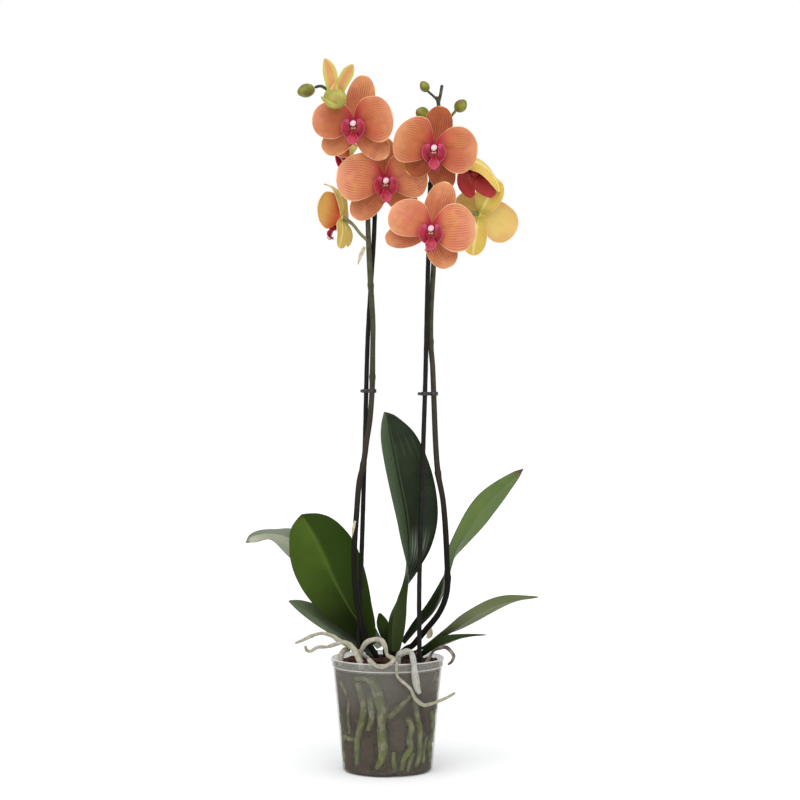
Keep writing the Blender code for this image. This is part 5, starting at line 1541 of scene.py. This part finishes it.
def lip_shape(centre, axes, size):
    """Column with its pale cap, two raised side lobes, callus, middle lobe and two tendrils."""
    right, up, forward = axes

    def at(x, y, z):
        return np.array(centre) + (right * x + up * y + forward * z) * size

    def small_rod(rows, sides=10, count=16, slot=0):
        return rod([(*at(*r[:3]), r[3] * size) for r in rows], count, sides, slot=slot)

    shapes = [small_rod([(0, 1.6, 1.0, 2.7), (0, 1.9, 4, 2.8), (0, 1.3, 7.5, 3.0), (0, 0.4, 9.6, 2.9)],
                        14, 16, 1)]
    shapes.append(egg(at(0, 0.0, 10.6), (3.4 * size, 3.0 * size, 2.8 * size), forward - up * 0.35, 20, 12,
                      slot=1))
    shapes.append(egg(at(0, -6.4, 5.2), (6.4 * size, 6.0 * size, 1.8 * size), forward, 24, 12, slot=3))
    for s in (-1, 1):
        shapes.append(lobe(at, [(s * 1.2, -12.6, 5.0, 1.6), (s * 4.6, -12.2, 6.4, 3.4),
                                (s * 7.6, -8.8, 8.0, 4.4), (s * 8.4, -4.6, 9.6, 4.6),
                                (s * 7.8, -0.8, 11.0, 4.0), (s * 6.0, 2.0, 12.0, 2.6),
                                (s * 4.6, 3.0, 12.6, 0.7)],
                           lambda row: (row[0] * 0.9, (row[1] + 5.0) * 0.9, 4.6), cup=-0.12))
        shapes.append(small_rod([(s * 0.6, -21.0, 9.8, 0.65), (s * 2.8, -23.6, 10.6, 0.5),
                                 (s * 5.0, -23.2, 12.2, 0.42), (s * 6.2, -21.0, 13.4, 0.3)], 8, 18))
        shapes.append(egg(at(s * 1.25, -4.6, 7.6), (1.3 * size, 1.5 * size, 1.9 * size), forward, 12, 8,
                          slot=2))
    shapes.append(lobe(at, [(0, -8.2, 5.6, 2.0), (0, -11.4, 8.0, 2.8), (0, -14.4, 10.4, 4.8),
                            (0, -17.2, 11.8, 5.8), (0, -20.0, 12.4, 4.2), (0, -22.6, 12.0, 0.8)],
                       lambda row: (1, 0, 0), thick=1.3, cup=0.35))
    return merge(shapes)


PETAL_SKINS = [petal_front, sepal_front, petal_back, sepal_back, side_petal, young_red, young_yellow,
               petal_deep, sepal_deep]
for index, (name, flower) in enumerate(FLOWERS.items()):
    axes = flower_frame(flower["facing"])
    centre = np.array(flower["at"], dtype=float)
    shapes = [tepal(centre, axes, *values[:7], index * 10 + k, values[7])
              for k, values in enumerate(flower["tepals"])]
    shapes.append(egg(centre - axes[2] * 0.4, (3.0, 3.0, 2.2), axes[2], 18, 10, slot=3))
    make_piece("tepals_" + name, merge(shapes), PETAL_SKINS, ["flower_" + name], sharp=75)
    make_piece("lip_lobes_" + name, lip_shape(flower["at"], axes, flower["size"]),
               [lip_wax, column_wax, callus_wax, throat_wax], ["lip_" + name], sharp=75)
print("flowers:", len(FLOWERS))

# %% [markdown]
# ## Half-open flower
# One flower of the right spike has not flattened yet. Its upper sepal still bends
# over like a hood and shows its yellow back, and the lower tepals show their deep
# red inner faces. It is built from free blades, because nothing in it is flat.

# %% Half-open flower
HOOD = [(80, -1, 651.5, 5, 20, -8), (88, -4, 653, 9, 34, -14), (97, -7, 651, 12, 46, -18),
        (106, -10, 645, 13, 56, -18), (113.5, -12, 636, 12, 60, -18), (118, -13, 626.5, 8.5, 58, -14),
        (119.5, -13, 619, 2.5, 55, -8)]
LOWER_TEPALS = [
    [(91, 1, 651, 6, 20, 10), (86.5, -4, 641, 10.5, 10, 16), (85.0, -8, 630, 11.0, 0, 16),
     (88, -11, 620, 7.5, -10, 14), (92.5, -12, 613.8, 2.5, -12, 8)],
    [(95, 0, 649, 7, 0, 10), (99, -6, 638, 12.0, -5, 18), (103.5, -10, 628, 12.0, -8, 18),
     (110, -12.5, 619, 7.5, -8, 14), (114, -13.5, 613.8, 2.5, -8, 8)],
    [(90, 8, 652, 6, 30, 10), (84, 9, 644, 9, 30, 14), (82, 9, 634, 8.5, 25, 14), (83, 8, 624.5, 2.5, 25, 8)],
]
shapes = [strap(HOOD, 44, 19, 4, rib=0.1, plate=0.8, slots=(3, 5))]
shapes += [strap(rows, 40, 19, 5 + k, rib=0.1, plate=0.7, slots=(5, 3))
           for k, rows in enumerate(LOWER_TEPALS)]
shapes.append(egg((94.5, 2.5, 651.0), (4.0, 3.6, 5.0), (-0.3, -0.2, -0.9), 18, 12, slot=5))
shapes.append(egg((94.5, -6.0, 641.5), (4.6, 3.6, 6.2), (-0.4, -0.4, -0.8), 20, 12, lobes=3, depth=0.2,
                  slot=5))
make_piece("tepals_right_3", merge(shapes), PETAL_SKINS, ["flower_right_3"], sharp=75)
print("half-open flower ready")

# %% [markdown]
# ## Opening flower and buds
# The youngest flower has just split: two petals stand up from a green cup of
# sepals that still hold each other. The buds above and beside it are closed eggs,
# creased where the three sepals meet, yellow-green with a brown flush.

# %% Bud material


def bud_material(name, green, yellow, flush, flush_share):
    """Closed bud: green clouded with yellow, faint ribs and a brown flush."""
    bud = Paint(name, green, 0.45, Specular_IOR_Level=0.3)
    ribs = bud.lines(18.0, 0.45, 0.04, 3.0)
    bud.over(yellow, bud.mottle(110.0, 4.0, 0.35, 0.7))
    bud.over(green, ribs, 0.3)
    bud.over(flush, bud.mottle(60.0, 5.0, 0.48, 0.7), flush_share)
    return bud.finish(ribs, 0.0003, 0.4)


bud_skin = bud_material("bud_skin", (0.130, 0.145, 0.014), (0.30, 0.28, 0.036), (0.13, 0.055, 0.018), 0.6)
cup_skin = bud_material("young_cup", (0.29, 0.285, 0.045), (0.46, 0.40, 0.10), (0.40, 0.26, 0.07), 0.5)
print("finishes:", bud_skin.name, cup_skin.name)

# %% [markdown]
# Closed buds are plump drops with three faint seams where the sepals meet. The one
# that is opening is a cup with narrow tips that stand out of it.

# %% Bud shapes
BUDS = {
    "bud_left_tip": ((-86.0, -32.0, 724.3), (7.6, 7.6, 9.6), (-0.95, -0.2, -0.25)),
    "bud_right_high": ((39.6, -5.0, 733.2), (5.4, 5.4, 6.4), (-0.4, -0.25, 0.6)),
    "bud_right_outer": ((78.6, -0.6, 713.4), (6.9, 6.9, 7.8), (0.7, -0.3, 0.75)),
    "bud_right_inner": ((37.2, -10.2, 703.6), (7.2, 7.2, 8.2), (-0.6, -0.7, 0.35)),
}
for name, (centre, radii, axis) in BUDS.items():
    shape = egg(centre, radii, axis, 40, 26, tip=0.22, lobes=3, depth=0.09)
    make_piece(name + "_skin", shape, [bud_skin], [name])
cup = egg((-54.8, -58.5, 712.6), (12.6, 10.8, 11.6), (0.35, 0, 1), 48, 30, lobes=3, depth=0.10)
UPRIGHT = [
    [(-56.6, -57, 714, 4.6, 4, 8), (-57.6, -59, 727, 7.0, 4, 14), (-60.0, -61, 740, 7.4, 4, 12),
     (-63.0, -62, 748.5, 4.6, 4, 8), (-65.2, -62, 753.4, 1.2, 4, 6)],
    [(-52.0, -56, 713, 4.0, -20, 8), (-47.6, -58, 727, 6.4, -22, 14), (-41.6, -60, 738, 6.8, -22, 12),
     (-38.0, -61, 743.6, 4.4, -20, 8), (-35.7, -61, 747.4, 1.2, -20, 6)],
    [(-55.6, -65, 714, 5.0, 0, -10), (-55.2, -66.5, 720, 4.6, 0, -14), (-54.6, -66, 724.5, 3.0, 0, -12),
     (-54.2, -65, 727.6, 1.0, 0, -6)],
    [(-52, -68.4, 704, 4.0, -60, -14), (-58, -69.6, 706.5, 7.2, -62, -14),
     (-64, -67.5, 710.5, 5.4, -64, -12), (-68.6, -64, 713.4, 1.0, -64, -6)],
]
blades = [strap(rows, 40, 15, 5 + k, rib=0.15, plate=0.8, slots=(min(1, 3 - k),) * 2)
          for k, rows in enumerate(UPRIGHT)]
make_piece("young_flower", merge([cup, *blades]), [cup_skin, young_yellow],
           ["flower_left_opening"])
print("buds:", len(BUDS))

# %% [markdown]
# ## Dry bracts
# Old bracts stay on the nodes as papery slivers. They are tiny blades of dry,
# pale, lined tissue.

# %% Dry bracts
paper = Paint("dry_bract", (0.62, 0.56, 0.42), 0.8)
paper_lines = paper.lines(12.0, 0.5, 0.1, 3.0)
paper.over((0.42, 0.34, 0.22), paper.mottle(200.0))
paper.over((0.36, 0.27, 0.16), paper_lines, 0.4)
dry_paper = paper.finish(paper_lines, 0.0003)
BRACTS = {
    "bract_left_low": [(-34.6, -14.2, 268, 1.2, 6, 12), (-36.4, -14.8, 260, 1.6, 6, 12),
                       (-37.6, -15.0, 252, 0.6, 6, 12)],
    "bract_left_high": [(-24.4, -9.8, 561, 1.6, 20, 12), (-28.6, -11.0, 552, 2.2, 20, 12),
                        (-31.6, -11.4, 542, 0.5, 20, 12)],
    "sheath_right_foot": [(43.0, 3.6, 140.5, 1.6, 12, 10), (45.6, 3.4, 145, 3.4, 12, 10),
                          (47.6, 1.2, 151.5, 0.8, 12, 10)],
}
for name, rows in BRACTS.items():
    shape = strap(rows, 24, 9, 3, rib=0.1, plate=0.6, slots=(0, 0))
    make_piece(name + "_paper", shape, [dry_paper], [name])
print("bracts:", len(BRACTS))
